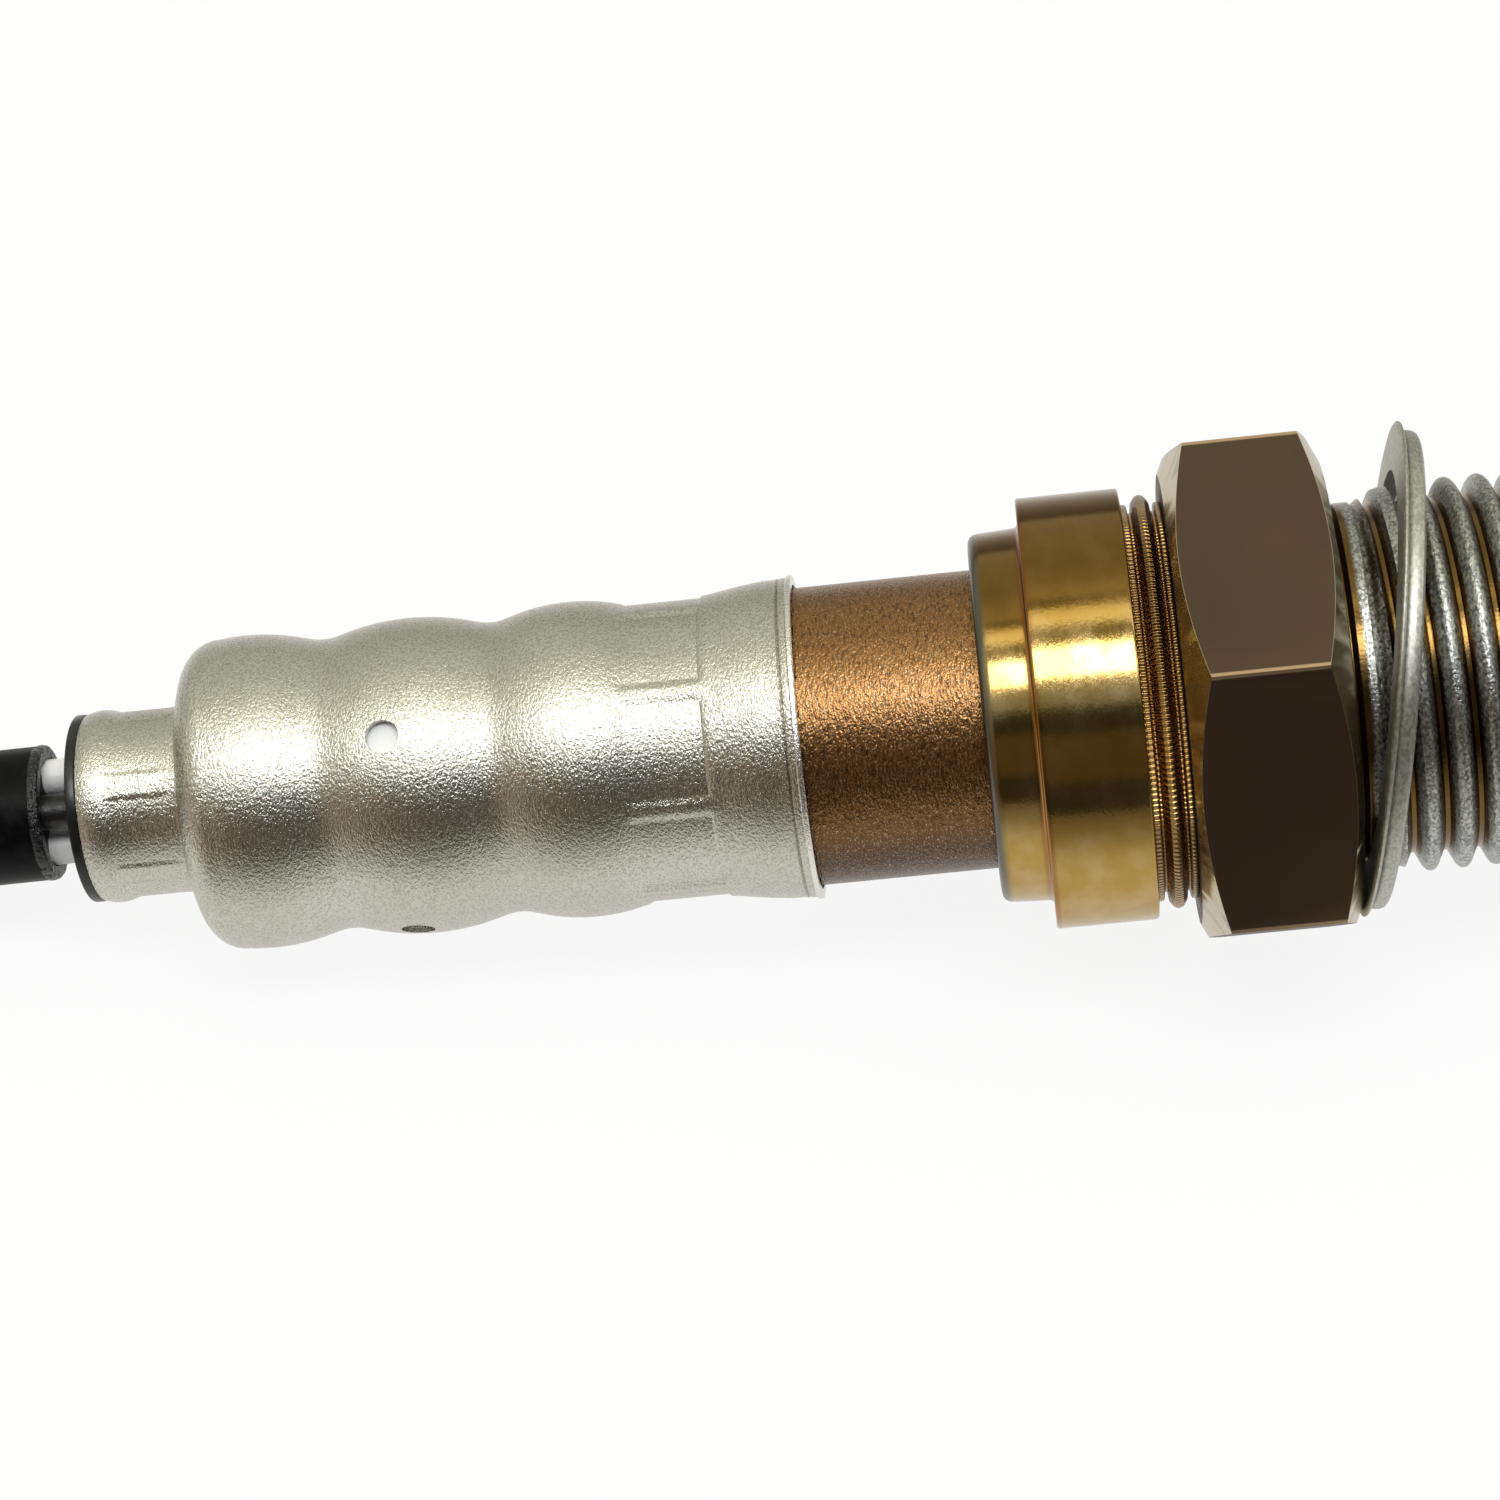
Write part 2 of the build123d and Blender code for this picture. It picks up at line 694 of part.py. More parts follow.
def shell_form(depth):
    """The space inside a surface that lies `depth` below the outer sleeve's skin."""
    neck_ridge = shell_neck_radius + neck_ridge_height - depth
    neck_foot = neck_rim + 2 * neck_crest_distance
    band_ridge = band_radius + band_ridge_height - depth
    groove = groove_radius - depth
    crest = rear_crest_radius - depth
    rear_face = shell_rear + depth
    arc_radius = rear_arc_radius - depth
    corner = rear_arc_centre + sqrt(arc_radius**2 - (rear_face - rear_crest) ** 2)
    rim = rim_radius - depth
    flare_middle = ((band_front + shell_rim) / 2, (band_ridge + rim) / 2 + flare_swell)
    with BuildPart() as form:
        with BuildSketch(axis_plane):
            with BuildLine():
                Polyline(
                    (shell_rim, rim),
                    (shell_rim, 0),
                    (neck_rim, 0),
                    (neck_rim, shell_neck_radius + neck_rim_height - depth),
                )
                ThreePointArc(
                    (neck_rim, shell_neck_radius + neck_rim_height - depth),
                    (neck_rim + neck_crest_distance, shell_neck_radius + neck_crest_height - depth),
                    (neck_foot, neck_ridge),
                )
                Polyline((neck_foot, neck_ridge), (rear_face, neck_ridge), (rear_face, corner))
                ThreePointArc((rear_face, corner), (rear_crest, crest), (rear_groove, groove))
                ThreePointArc(
                    (rear_groove, groove),
                    ((rear_groove + front_groove) / 2, groove + middle_bulge_height),
                    (front_groove, groove),
                )
                ThreePointArc(
                    (front_groove, groove),
                    (front_groove + front_crest_distance, groove + front_bulge_height),
                    (band_rear, band_ridge),
                )
                Line((band_rear, band_ridge), (band_front, band_ridge))
                ThreePointArc((band_front, band_ridge), flare_middle, (shell_rim, rim))
            skin = make_face()
            fillet(skin.vertices().sort_by_distance((rear_face, corner))[0], shoulder_radius - depth)
        revolve(axis=sensor_axis)
        band_floor = band_radius - depth
        band_half = 180 / band_jaws - degrees(band_ridge_width / 2 / band_floor)
        band_starts = round_angles(band_jaw_angle - band_half, band_jaws)
        band_bite = jaw_mark(band_rear, band_front, band_floor, 0, jaw_mark_slope, band_starts)
        revolve(band_bite, axis=sensor_axis, revolution_arc=2 * band_half, mode=Mode.SUBTRACT)
        neck_floor = shell_neck_radius - depth
        neck_half = 180 / neck_jaws - degrees(neck_ridge_width / 2 / neck_floor)
        neck_starts = round_angles(neck_jaw_angle - neck_half, neck_jaws)
        neck_mark_rear = rear_face - depth - neck_mark_length
        neck_bite = jaw_mark(neck_mark_rear, rear_face, neck_floor, jaw_mark_slope, 0, neck_starts)
        revolve(neck_bite, axis=sensor_axis, revolution_arc=2 * neck_half, mode=Mode.SUBTRACT)
    return form


shell_outside = shell_form(0)
shell_inside = shell_form(shell_wall)
with BuildPart() as outer_sleeve:
    add(shell_outside)
    add(shell_inside, mode=Mode.SUBTRACT)
    vents = round_angles(vent_hole_angle, vent_hole_count)
    with BuildSketch(*[facing_out(vent_station, angle) for angle in vents]):
        Circle(vent_hole_diameter / 2)
    extrude(amount=rear_crest_radius + jaw_mark_reach, mode=Mode.SUBTRACT)
save(outer_sleeve, "outer_sleeve")


# --------------------------------------------------------------------------- contacts and insulators
contact_foot = element_thickness / 2 + contact_gap
contact_top = contact_foot + contact_thickness
barrel_radius = wire_radius + wire_fit + barrel_wall
holder_rear = -holder_front - holder_length

with BuildPart() as contact_holder:
    with BuildSketch(across(holder_rear)):
        Circle(holder_radius)
        Rectangle(holder_slot_width, 2 * (contact_top + contact_side_room), mode=Mode.SUBTRACT)
    extrude(amount=holder_length)
save(contact_holder, "contact_holder")

with BuildPart() as holder_spring:
    with BuildSketch(across(-spring_front - spring_length)):
        Circle(spring_radius)
        Circle(spring_radius - spring_thickness, mode=Mode.SUBTRACT)
        with Locations((spring_radius, 0)):
            Rectangle(spring_radius, element_thickness, mode=Mode.SUBTRACT)
    extrude(amount=spring_length)
save(holder_spring, "holder_spring")

with BuildPart() as terminal_insulator:
    with BuildSketch(across(insulator_rear)):
        Circle(insulator_radius)
        with Locations(*wire_spots()):
            Circle(wire_radius + wire_fit, mode=Mode.SUBTRACT)
    extrude(amount=insulator_length)
save(terminal_insulator, "terminal_insulator")

for name, (spot_y, spot_z) in zip(contact_names, wire_spots()):
    side = 1 if spot_y > 0 else -1
    height = 1 if spot_z > 0 else -1
    with BuildPart() as contact:
        with BuildSketch(across(contact_rear)):
            with Locations((side * contact_spread, height * (contact_foot + contact_top) / 2)):
                Rectangle(contact_width, contact_thickness)
        extrude(amount=-contact_front - contact_rear)
        with BuildSketch(across(barrel_rear)):
            with Locations((spot_y, spot_z)):
                Circle(barrel_radius)
        extrude(amount=barrel_length)
        with BuildSketch(across(barrel_rear)):
            with Locations((spot_y, spot_z)):
                Circle(wire_radius + wire_fit)
        extrude(amount=barrel_length - barrel_wall, mode=Mode.SUBTRACT)
    save(contact, name)


# ---------------------------------------------------------------------------------------- grommet
with BuildPart() as grommet:
    grommet_radius = shell_neck_radius - shell_wall - crimp_fit
    with BuildSketch(axis_plane):
        Polygon(
            (grommet_rear, 0),
            (grommet_rear, grommet_lip_radius),
            (neck_rim, grommet_lip_radius),
            (neck_rim, grommet_radius),
            (shoulder_rear, grommet_radius),
            (shoulder_rear, grommet_shoulder_diameter / 2),
            (shoulder_front, grommet_shoulder_diameter / 2),
            (shoulder_front, 0),
            align=None,
        )
        fillet(vertices().sort_by_distance((grommet_rear, grommet_lip_radius))[0], grommet_lip_edge)
    revolve(axis=sensor_axis)
    with BuildSketch(across(grommet_rear)):
        with Locations(*wire_spots()):
            Circle(wire_radius + wire_fit)
    extrude(amount=shoulder_front - grommet_rear, mode=Mode.SUBTRACT)
save(grommet, "grommet")


# -------------------------------------------------------------------------------------------- cable
exit_point = seat + along * cable_end
first_corner = exit_point - along * first_run
tube_points = [tuple(exit_point), tuple(first_corner), *free_route]
tube_radii = cord_radii(tube_points)
hank_radii = cord_radii(hank_route)
print("cable arcs, free:", [round(r, 1) for r in tube_radii])
print("cable arcs, hank:", [round(r, 1) for r in hank_radii])

with BuildPart() as cable_sleeve:
    with BuildLine() as tube_line:
        FilletPolyline(*tube_points, radius=tube_radii)
    with BuildSketch(Plane(origin=exit_point, z_dir=-along)):
        Circle(cable_radius)
    sweep()
    with BuildSketch(Plane(origin=exit_point, z_dir=-along)):
        Circle(cable_bore_radius)
    extrude(amount=socket_depth, mode=Mode.SUBTRACT)
save(cable_sleeve, "cable_sleeve")

tail_end = Vector(*hank_route[-1], cable_radius)
tail_run = tail_end - Vector(*hank_route[-2], cable_radius)
tail_way = tail_run.normalized()
strand_gap = 2 * 3.45
tie_inside_width = strand_gap + cable_diameter - 2 * tie_squeeze
tie_inside_height = cable_diameter - tie_thickness

with BuildPart() as tie_strap:
    with BuildSketch(Plane.YZ.offset(tie_station - tie_width / 2)):
        with Locations((0, (tie_inside_height + 2 * tie_thickness) / 2)):
            RectangleRounded(
                tie_inside_width + 2 * tie_thickness,
                tie_inside_height + 2 * tie_thickness,
                tie_corner_radius + tie_thickness,
            )
            RectangleRounded(
                tie_inside_width, tie_inside_height, tie_corner_radius, mode=Mode.SUBTRACT
            )
    extrude(amount=tie_width)

with BuildPart() as cable_hank:
    with BuildSketch():
        with BuildLine() as hank_line:
            FilletPolyline(*hank_route, radius=hank_radii)
        trace(hank_line.line, cable_diameter)
    extrude(amount=cable_diameter)
    with BuildSketch(Plane.YZ.offset(tie_station - tie_width / 2)):
        with Locations((0, (tie_inside_height + 2 * tie_thickness) / 2)):
            Rectangle(4 * cable_diameter, 4 * cable_diameter)
            RectangleRounded(
                tie_inside_width, tie_inside_height, tie_corner_radius, mode=Mode.SUBTRACT
            )
    extrude(amount=tie_width, mode=Mode.SUBTRACT)
    with BuildSketch(Plane(origin=tail_end, z_dir=-tail_way)):
        Circle(cable_bore_radius)
    extrude(amount=socket_depth, mode=Mode.SUBTRACT)
save(cable_hank, "cable_hank")

with BuildPart() as cable_tie:
    add(tie_strap)
    strap_top = tie_inside_height + 2 * tie_thickness
    head_plane = Plane.XY.offset(strap_top - tie_thickness / 2)
    with BuildSketch(head_plane):
        with Locations((tie_station, 0)):
            RectangleRounded(tie_head_length, tie_head_width, 0.8)
    extrude(amount=tie_head_height)
    with BuildSketch(head_plane.offset(tie_head_height)):
        with Locations((tie_station, 0)):
            Rectangle(tie_width, tie_thickness)
    extrude(amount=tie_tail_length)
save(cable_tie, "cable_tie")


# --------------------------------------------------------------------------------------------- plug
plug_rear = tail_end + tail_way * plug_gap
plug_base = Plane(origin=(plug_rear.X, plug_rear.Y, 0), x_dir=tail_way, z_dir=(0, 0, 1))
row_height = plug_height / 2
body_front = plug_cap_length + plug_length
plug_front = body_front + plug_nose_length
nose_width = plug_width - 2 * plug_nose_inset
nose_height = plug_height - 2 * plug_nose_inset
chamber_width = plug_width - 2 * plug_wall
chamber_height = nose_height - plug_nose_inset / 2
chamber_front = plug_cap_length + plug_seal_length + packing_clearance
lock_rear = plug_front - lock_thickness
cavity_front = lock_rear - plug_wall
lock_width = nose_width - 2 * lock_inset
lock_height = nose_height - 2 * lock_inset
lock_radius = plug_nose_radius / 2
tunnel_size = terminal_size + 2 * terminal_fit
wire_hole_radius = wire_radius + wire_fit
row = [(i - (len(wire_names) - 1) / 2) * wire_pitch for i in range(len(wire_names))]


def plug_plane(distance):
    """The plane square to the plug at a distance in front of its rear face, at the row's height."""
    centre = plug_base.from_local_coords((distance, 0, row_height))
    return Plane(origin=centre, x_dir=plug_base.y_dir, z_dir=tail_way)


def plug_outline(distance, width, height, radius):
    """A rounded outline square to the plug, centred on the row of wires."""
    with BuildSketch(plug_plane(distance)) as outline:
        RectangleRounded(width, height, radius)
    return outline.sketch


def plug_row(distance, shape, *size):
    """The same small outline at each wire of the row."""
    with BuildSketch(plug_plane(distance)) as outlines:
        with Locations(*[(y, 0) for y in row]):
            shape(*size)
    return outlines.sketch


with BuildPart() as connector_housing:
    housing = plug_outline(plug_cap_length, plug_width, plug_height, plug_edge_radius)
    extrude(housing, amount=plug_length)
    nose = plug_outline(body_front, nose_width, nose_height, plug_nose_radius)
    extrude(nose, amount=plug_nose_length)
    chamber = plug_outline(plug_cap_length, chamber_width, chamber_height, plug_nose_radius)
    extrude(chamber, amount=chamber_front - plug_cap_length, mode=Mode.SUBTRACT)
    recess = plug_outline(lock_rear, lock_width, lock_height, lock_radius)
    extrude(recess, amount=lock_thickness, mode=Mode.SUBTRACT)
    tunnels = plug_row(chamber_front, Rectangle, tunnel_size, tunnel_size)
    extrude(tunnels, amount=cavity_front - chamber_front, mode=Mode.SUBTRACT)
    mouths = plug_row(cavity_front, Rectangle, terminal_slot_width, terminal_slot_height)
    extrude(mouths, amount=lock_rear - cavity_front, mode=Mode.SUBTRACT)
    latch_front = body_front - latch_root_length / 2
    latch_side = latch_width / 2
    latch_under = plug_height + latch_gap
    latch_top = latch_under + latch_thickness
    with BuildSketch(Plane(origin=plug_base.origin, x_dir=tail_way, z_dir=-plug_base.y_dir)):
        Polygon(
            (latch_front - latch_root_length, plug_height - plug_wall),
            (latch_front, plug_height - plug_wall),
            (latch_front, latch_under),
            (latch_front - latch_root_length / 2, latch_top),
            (latch_front - latch_length + latch_pad_length, latch_top),
            (latch_front - latch_length + latch_pad_length, latch_top + latch_pad_height),
            (latch_front - latch_length, latch_top + latch_pad_height),
            (latch_front - latch_length, latch_under),
            (latch_front - latch_root_length, latch_under),
            align=None,
        )
    extrude(amount=latch_side, both=True)
    for side in (-1, 1):
        rail_middle = side * (latch_side + rail_gap + rail_width / 2)
        with BuildSketch(plug_base.offset(plug_height - plug_wall)):
            with Locations(((plug_cap_length + body_front) / 2, rail_middle)):
                Rectangle(latch_length + rail_width, rail_width)
        extrude(amount=plug_wall + latch_gap + latch_thickness)
save(connector_housing, "connector_housing")

with BuildPart() as connector_cap:
    cap_width = plug_width - 2 * plug_cap_inset
    cap_height = plug_height - 2 * plug_cap_inset
    extrude(plug_outline(0, cap_width, cap_height, plug_edge_radius), amount=plug_cap_length)
    cap_holes = plug_row(0, Circle, wire_hole_radius)
    extrude(cap_holes, amount=plug_cap_length, mode=Mode.SUBTRACT)
save(connector_cap, "connector_cap")

with BuildPart() as wire_seal:
    seal_width = chamber_width - 2 * packing_clearance
    seal_height = chamber_height - 2 * packing_clearance
    seal_radius = plug_nose_radius - packing_clearance
    seal_outline = plug_outline(plug_cap_length, seal_width, seal_height, seal_radius)
    extrude(seal_outline, amount=plug_seal_length)
    seal_holes = plug_row(plug_cap_length, Circle, wire_hole_radius)
    extrude(seal_holes, amount=plug_seal_length, mode=Mode.SUBTRACT)
save(wire_seal, "wire_seal")

with BuildPart() as face_seal:
    swollen_width = nose_width + 2 * face_seal_swell
    swollen_height = nose_height + 2 * face_seal_swell
    swollen_radius = plug_nose_radius + face_seal_swell
    swollen = plug_outline(body_front, swollen_width, swollen_height, swollen_radius)
    extrude(swollen, amount=face_seal_length)
    nose_again = plug_outline(body_front, nose_width, nose_height, plug_nose_radius)
    extrude(nose_again, amount=face_seal_length, mode=Mode.SUBTRACT)
save(face_seal, "face_seal")

with BuildPart() as terminal_lock:
    plate_width = lock_width - 2 * packing_clearance
    plate_height = lock_height - 2 * packing_clearance
    plate_radius = lock_radius - packing_clearance
    extrude(plug_outline(lock_rear, plate_width, plate_height, plate_radius), amount=lock_thickness)
    slots = plug_row(lock_rear, Rectangle, terminal_slot_width, terminal_slot_height)
    extrude(slots, amount=lock_thickness, mode=Mode.SUBTRACT)
save(terminal_lock, "terminal_lock")

terminal_front = cavity_front - packing_clearance
terminal_rear = chamber_front + 2 * packing_clearance
for number, y in enumerate(row, start=1):
    with BuildPart() as terminal:
        with BuildSketch(plug_plane(terminal_rear)):
            with Locations((y, 0)):
                Rectangle(terminal_size, terminal_size)
        extrude(amount=terminal_front - terminal_rear)
        with BuildSketch(plug_plane(terminal_front)):
            with Locations((y, 0)):
                Rectangle(terminal_slot_width, terminal_slot_height)
        extrude(amount=-(terminal_front - terminal_rear) / 2, mode=Mode.SUBTRACT)
    save(terminal, f"connector_terminal_{number}")


# -------------------------------------------------------------------------------------------- wires
# Each wire shows where it leaves the sensor and again where it enters the plug. In between it runs
# inside the cable sleeve, whose solid stands for it there.
bundle_offset = wire_circle_radius * sin(radians(45))
bundle = [
    (-bundle_offset, bundle_offset),
    (-bundle_offset, -bundle_offset),
    (bundle_offset, -bundle_offset),
    (bundle_offset, bundle_offset),
]
head_front = contact_rear - barrel_wall - packing_clearance
head_rear = cable_end - socket_depth
for name, spot, (bundle_y, bundle_z), row_y in zip(wire_names, wire_spots(), bundle, row):
    wire_path = [
        (-plug_gap - socket_depth, bundle_y, cable_radius + bundle_z),
        (-plug_gap + wire_diameter, bundle_y, cable_radius + bundle_z),
        (-wire_diameter, row_y, row_height),
        (terminal_rear, row_y, row_height),
    ]
    points = [plug_base.from_local_coords(p) for p in wire_path]
    with BuildPart() as wire:
        with BuildSketch(across(head_rear)):
            with Locations(spot):
                Circle(wire_radius)
        extrude(amount=head_front - head_rear)
        with BuildLine():
            FilletPolyline(*points, radius=wire_bend_radius)
        with BuildSketch(Plane(origin=points[0], z_dir=tail_way)):
            Circle(wire_radius)
        sweep()
    save(wire, name)
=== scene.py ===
import bpy
import json
from math import atan2, cos, degrees, hypot, pi, radians, sin, sqrt, tan
from mathutils import Matrix, Vector

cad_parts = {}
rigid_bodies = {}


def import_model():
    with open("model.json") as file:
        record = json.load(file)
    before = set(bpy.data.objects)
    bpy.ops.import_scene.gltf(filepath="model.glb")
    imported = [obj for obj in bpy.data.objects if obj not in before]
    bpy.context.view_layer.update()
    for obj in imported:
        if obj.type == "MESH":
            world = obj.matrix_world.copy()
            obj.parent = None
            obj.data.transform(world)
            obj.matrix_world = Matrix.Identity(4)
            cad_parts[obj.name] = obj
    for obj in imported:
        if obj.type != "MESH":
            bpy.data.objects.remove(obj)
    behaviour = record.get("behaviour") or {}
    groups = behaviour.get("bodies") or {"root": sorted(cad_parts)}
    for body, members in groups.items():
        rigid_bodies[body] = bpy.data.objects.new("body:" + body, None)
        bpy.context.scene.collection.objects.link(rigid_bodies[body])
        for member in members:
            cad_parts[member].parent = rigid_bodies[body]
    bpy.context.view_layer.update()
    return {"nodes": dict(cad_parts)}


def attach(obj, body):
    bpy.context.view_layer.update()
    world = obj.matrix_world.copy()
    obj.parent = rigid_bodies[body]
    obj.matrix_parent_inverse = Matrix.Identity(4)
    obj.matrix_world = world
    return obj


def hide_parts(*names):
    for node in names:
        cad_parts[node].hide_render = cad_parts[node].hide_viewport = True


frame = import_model()

MM = 0.001
TILT = radians(4.790583)
SEAT = Vector((15.508699, 0.0, 11.544519)) * MM
ALONG = Vector((cos(TILT), 0.0, sin(TILT)))
UPWARD = Vector((-sin(TILT), 0.0, cos(TILT)))

# Sizes that more than one piece or finish goes by, in millimetres and degrees
HEX_WIDTH = 22.0
HEX_LENGTH = 7.26
HEX_FACE_RADIUS = 10.4
HEX_CHAMFER = radians(25)
BODY_BORE = 7.65
WIRE_CIRCLE_RADIUS = 1.65
WIRE_ANGLE = 33.5
VENT_ANGLE = 18.5


def on_axis(station, side=0.0, height=0.0):
    """A point given by its station along the sensor and its offsets from the axis, in millimetres."""
    return SEAT + (ALONG * station + Vector((0.0, 1.0, 0.0)) * side + UPWARD * height) * MM


# ---------------------------------------------------------------------------------------- camera
view_elevation = radians(56.5)
view_roll = radians(-3.06)
view_distance = 193.0 * MM
looking = Vector((0.0, cos(view_elevation), -sin(view_elevation)))
picture_up = Vector((sin(-view_roll), cos(view_roll) * sin(view_elevation),
                     cos(view_roll) * cos(view_elevation)))
aim = on_axis(-27.12) - picture_up * 0.35 * MM
bpy.ops.object.camera_add(location=aim - looking * view_distance)
camera = bpy.context.object
camera.name = "camera"
camera.rotation_mode = "ZYX"
camera.rotation_euler = (pi / 2 - view_elevation, 0.0, view_roll)
camera.data.lens = 100.0
camera.data.sensor_width = 36.0
camera.data.clip_start = 0.01
camera.data.clip_end = 50.0
bpy.context.scene.camera = camera


# ------------------------------------------------------------------------------- making by hand
def put_down():
    """Leaves edit mode with nothing selected."""
    if bpy.context.object and bpy.context.object.mode != "OBJECT":
        bpy.ops.object.mode_set(mode="OBJECT")
    bpy.ops.object.select_all(action="DESELECT")


def take_up(piece):
    """Selects one piece alone and makes it the active one."""
    put_down()
    piece.select_set(True)
    bpy.context.view_layer.objects.active = piece


def apply_modifier(piece, kind, **settings):
    """Adds a modifier with its settings and applies it."""
    take_up(piece)
    modifier = piece.modifiers.new(kind.title(), kind)
    for key, value in settings.items():
        setattr(modifier, key, value)
    bpy.ops.object.modifier_apply(modifier=modifier.name)


def arc(start, through, end, count):
    """The points of a circular arc through three points, without its start."""
    (x1, y1), (x2, y2), (x3, y3) = start, through, end
    d = 2 * (x1 * (y2 - y3) + x2 * (y3 - y1) + x3 * (y1 - y2))
    a, b, c = x1 * x1 + y1 * y1, x2 * x2 + y2 * y2, x3 * x3 + y3 * y3
    cx = (a * (y2 - y3) + b * (y3 - y1) + c * (y1 - y2)) / d
    cy = (a * (x3 - x2) + b * (x1 - x3) + c * (x2 - x1)) / d
    first, last = atan2(y1 - cy, x1 - cx), atan2(y3 - cy, x3 - cx)
    middle = atan2(y2 - cy, x2 - cx)
    turn = (last - first) % (2 * pi)
    if (middle - first) % (2 * pi) > turn:
        turn -= 2 * pi
    radius = hypot(x1 - cx, y1 - cy)
    angles = [first + turn * (i + 1) / count for i in range(count)]
    return [(cx + radius * cos(t), cy + radius * sin(t)) for t in angles]


def eased(outline, radius=0.1, special=None, steps=3):
    """A closed outline with its sharp corners rounded, each by its own radius or the general one."""
    special = special or {}
    count = len(outline)
    points = []
    for i, here in enumerate(outline):
        before, after = Vector(outline[i - 1]), Vector(outline[(i + 1) % count])
        here = Vector(here)
        to_before, to_after = before - here, after - here
        turn = pi - to_before.angle(to_after)
        wanted = special.get(i, radius)
        on_the_axis = here.y < 1e-6
        if turn < radians(14) or wanted <= 0 or on_the_axis:
            points.append(tuple(here))
            continue
        reach = min(wanted * tan(turn / 2), 0.45 * to_before.length, 0.45 * to_after.length)
        start, end = here + to_before.normalized() * reach, here + to_after.normalized() * reach
        points.append(tuple(start))
        for k in range(1, steps):
            t = k / steps
            points.append(tuple(start * (1 - t) ** 2 + here * 2 * t * (1 - t) + end * t * t))
        points.append(tuple(end))
    return points


def turned(name, outline, steps=128):
    """A turned piece: a closed outline of (station, radius) spun about the X axis, in millimetres."""
    put_down()
    first = outline[0]
    bpy.ops.mesh.primitive_plane_add(size=0.1 * MM, location=(first[0] * MM, 0, first[1] * MM))
    piece = bpy.context.object
    piece.name = name
    bpy.ops.object.mode_set(mode="EDIT")
    bpy.ops.mesh.merge(type="CENTER")
    for here, there in zip(outline, outline[1:] + outline[:1]):
        move = ((there[0] - here[0]) * MM, 0, (there[1] - here[1]) * MM)
        bpy.ops.mesh.extrude_vertices_move(TRANSFORM_OT_translate={"value": move})
    bpy.ops.mesh.select_all(action="SELECT")
    bpy.ops.mesh.spin(steps=steps, angle=2 * pi, center=(0, 0, 0), axis=(1, 0, 0))
    bpy.ops.mesh.select_all(action="SELECT")
    bpy.ops.mesh.remove_doubles(threshold=2e-6)
    bpy.ops.mesh.dissolve_degenerate(threshold=1e-7)
    bpy.ops.mesh.select_all(action="SELECT")
    bpy.ops.mesh.normals_make_consistent(inside=False)
    put_down()
    settle(piece)
    return piece


def settle(piece):
    """Puts a piece's own place and turn into its mesh."""
    take_up(piece)
    bpy.ops.object.transform_apply(location=True, rotation=True, scale=True)


def set_on_sensor(piece):
    """Carries a piece made about the X axis to its place on the sensor's axis."""
    piece.rotation_euler = (0, -TILT, 0)
    piece.location = SEAT
    settle(piece)


def press(piece, chosen, factor):
    """Presses the chosen points of a turned piece towards or away from the X axis."""
    take_up(piece)
    for face in piece.data.polygons:
        face.select = False
    for edge in piece.data.edges:
        edge.select = False
    for point in piece.data.vertices:
        x, y, z = point.co / MM
        point.select = chosen(x, hypot(y, z), degrees(atan2(z, y)) % 360)
    bpy.ops.object.mode_set(mode="EDIT")
    bpy.ops.transform.resize(value=(1, factor, factor), center_override=(0, 0, 0))
    put_down()


def drilled(piece, holes, diameter, depth, sides=32):
    """Drills round holes into a turned piece: each is a station and a round angle, from outside in."""
    cutters = []
    for station, angle in holes:
        put_down()
        way = Vector((0, cos(radians(angle)), sin(radians(angle))))
        middle = Vector((station, 0, 0)) + way * depth / 2
        bpy.ops.mesh.primitive_cylinder_add(
            vertices=sides, radius=diameter / 2 * MM, depth=depth * MM, location=middle * MM,
            rotation=way.to_track_quat("Z", "X").to_euler())
        cutters.append(bpy.context.object)
    cut_away(piece, cutters)


def cut_away(piece, cutters, operation="DIFFERENCE"):
    """Cuts a piece with others, which are used up."""
    put_down()
    for cutter in cutters:
        cutter.select_set(True)
    bpy.context.view_layer.objects.active = cutters[0]
    if len(cutters) > 1:
        bpy.ops.object.join()
    cutter = bpy.context.object
    apply_modifier(piece, "BOOLEAN", operation=operation, solver="EXACT", object=cutter)
    bpy.data.objects.remove(cutter)


def finished(piece, finish, nodes, angle=30):
    """Gives a finished piece its shading, material, place in the frame and the nodes it stands for."""
    take_up(piece)
    bpy.ops.object.shade_smooth_by_angle(angle=radians(angle))
    piece.data.materials.clear()
    piece.data.materials.append(finish)
    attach(piece, "root")
    if nodes:
        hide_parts(*nodes)


def with_eased_edges(name, width, segments=2):
    """A merged copy of one of the frame's solids, its sharp edges rounded off a little."""
    take_up(frame["nodes"][name])
    bpy.ops.object.duplicate()
    piece = bpy.context.object
    bpy.ops.object.parent_clear(type="CLEAR_KEEP_TRANSFORM")
    for key in list(piece.keys()):
        del piece[key]
    piece.name = name + "_moulding"
    settle(piece)
    bpy.ops.object.mode_set(mode="EDIT")
    bpy.ops.mesh.select_all(action="SELECT")
    bpy.ops.mesh.remove_doubles(threshold=2e-6)
    bpy.ops.mesh.dissolve_limited(angle_limit=radians(1))
    put_down()
    apply_modifier(piece, "BEVEL", width=width * MM, segments=segments, limit_method="ANGLE",
                   angle_limit=radians(40))
    return piece


# --------------------------------------------------------------------------- finishes from nodes
def tint(code):
    """A colour from its six-figure code."""
    parts = [int(code[i:i + 2], 16) / 255 for i in (0, 2, 4)]
    return (*[p / 12.92 if p <= 0.04045 else ((p + 0.055) / 1.055) ** 2.4 for p in parts], 1.0)


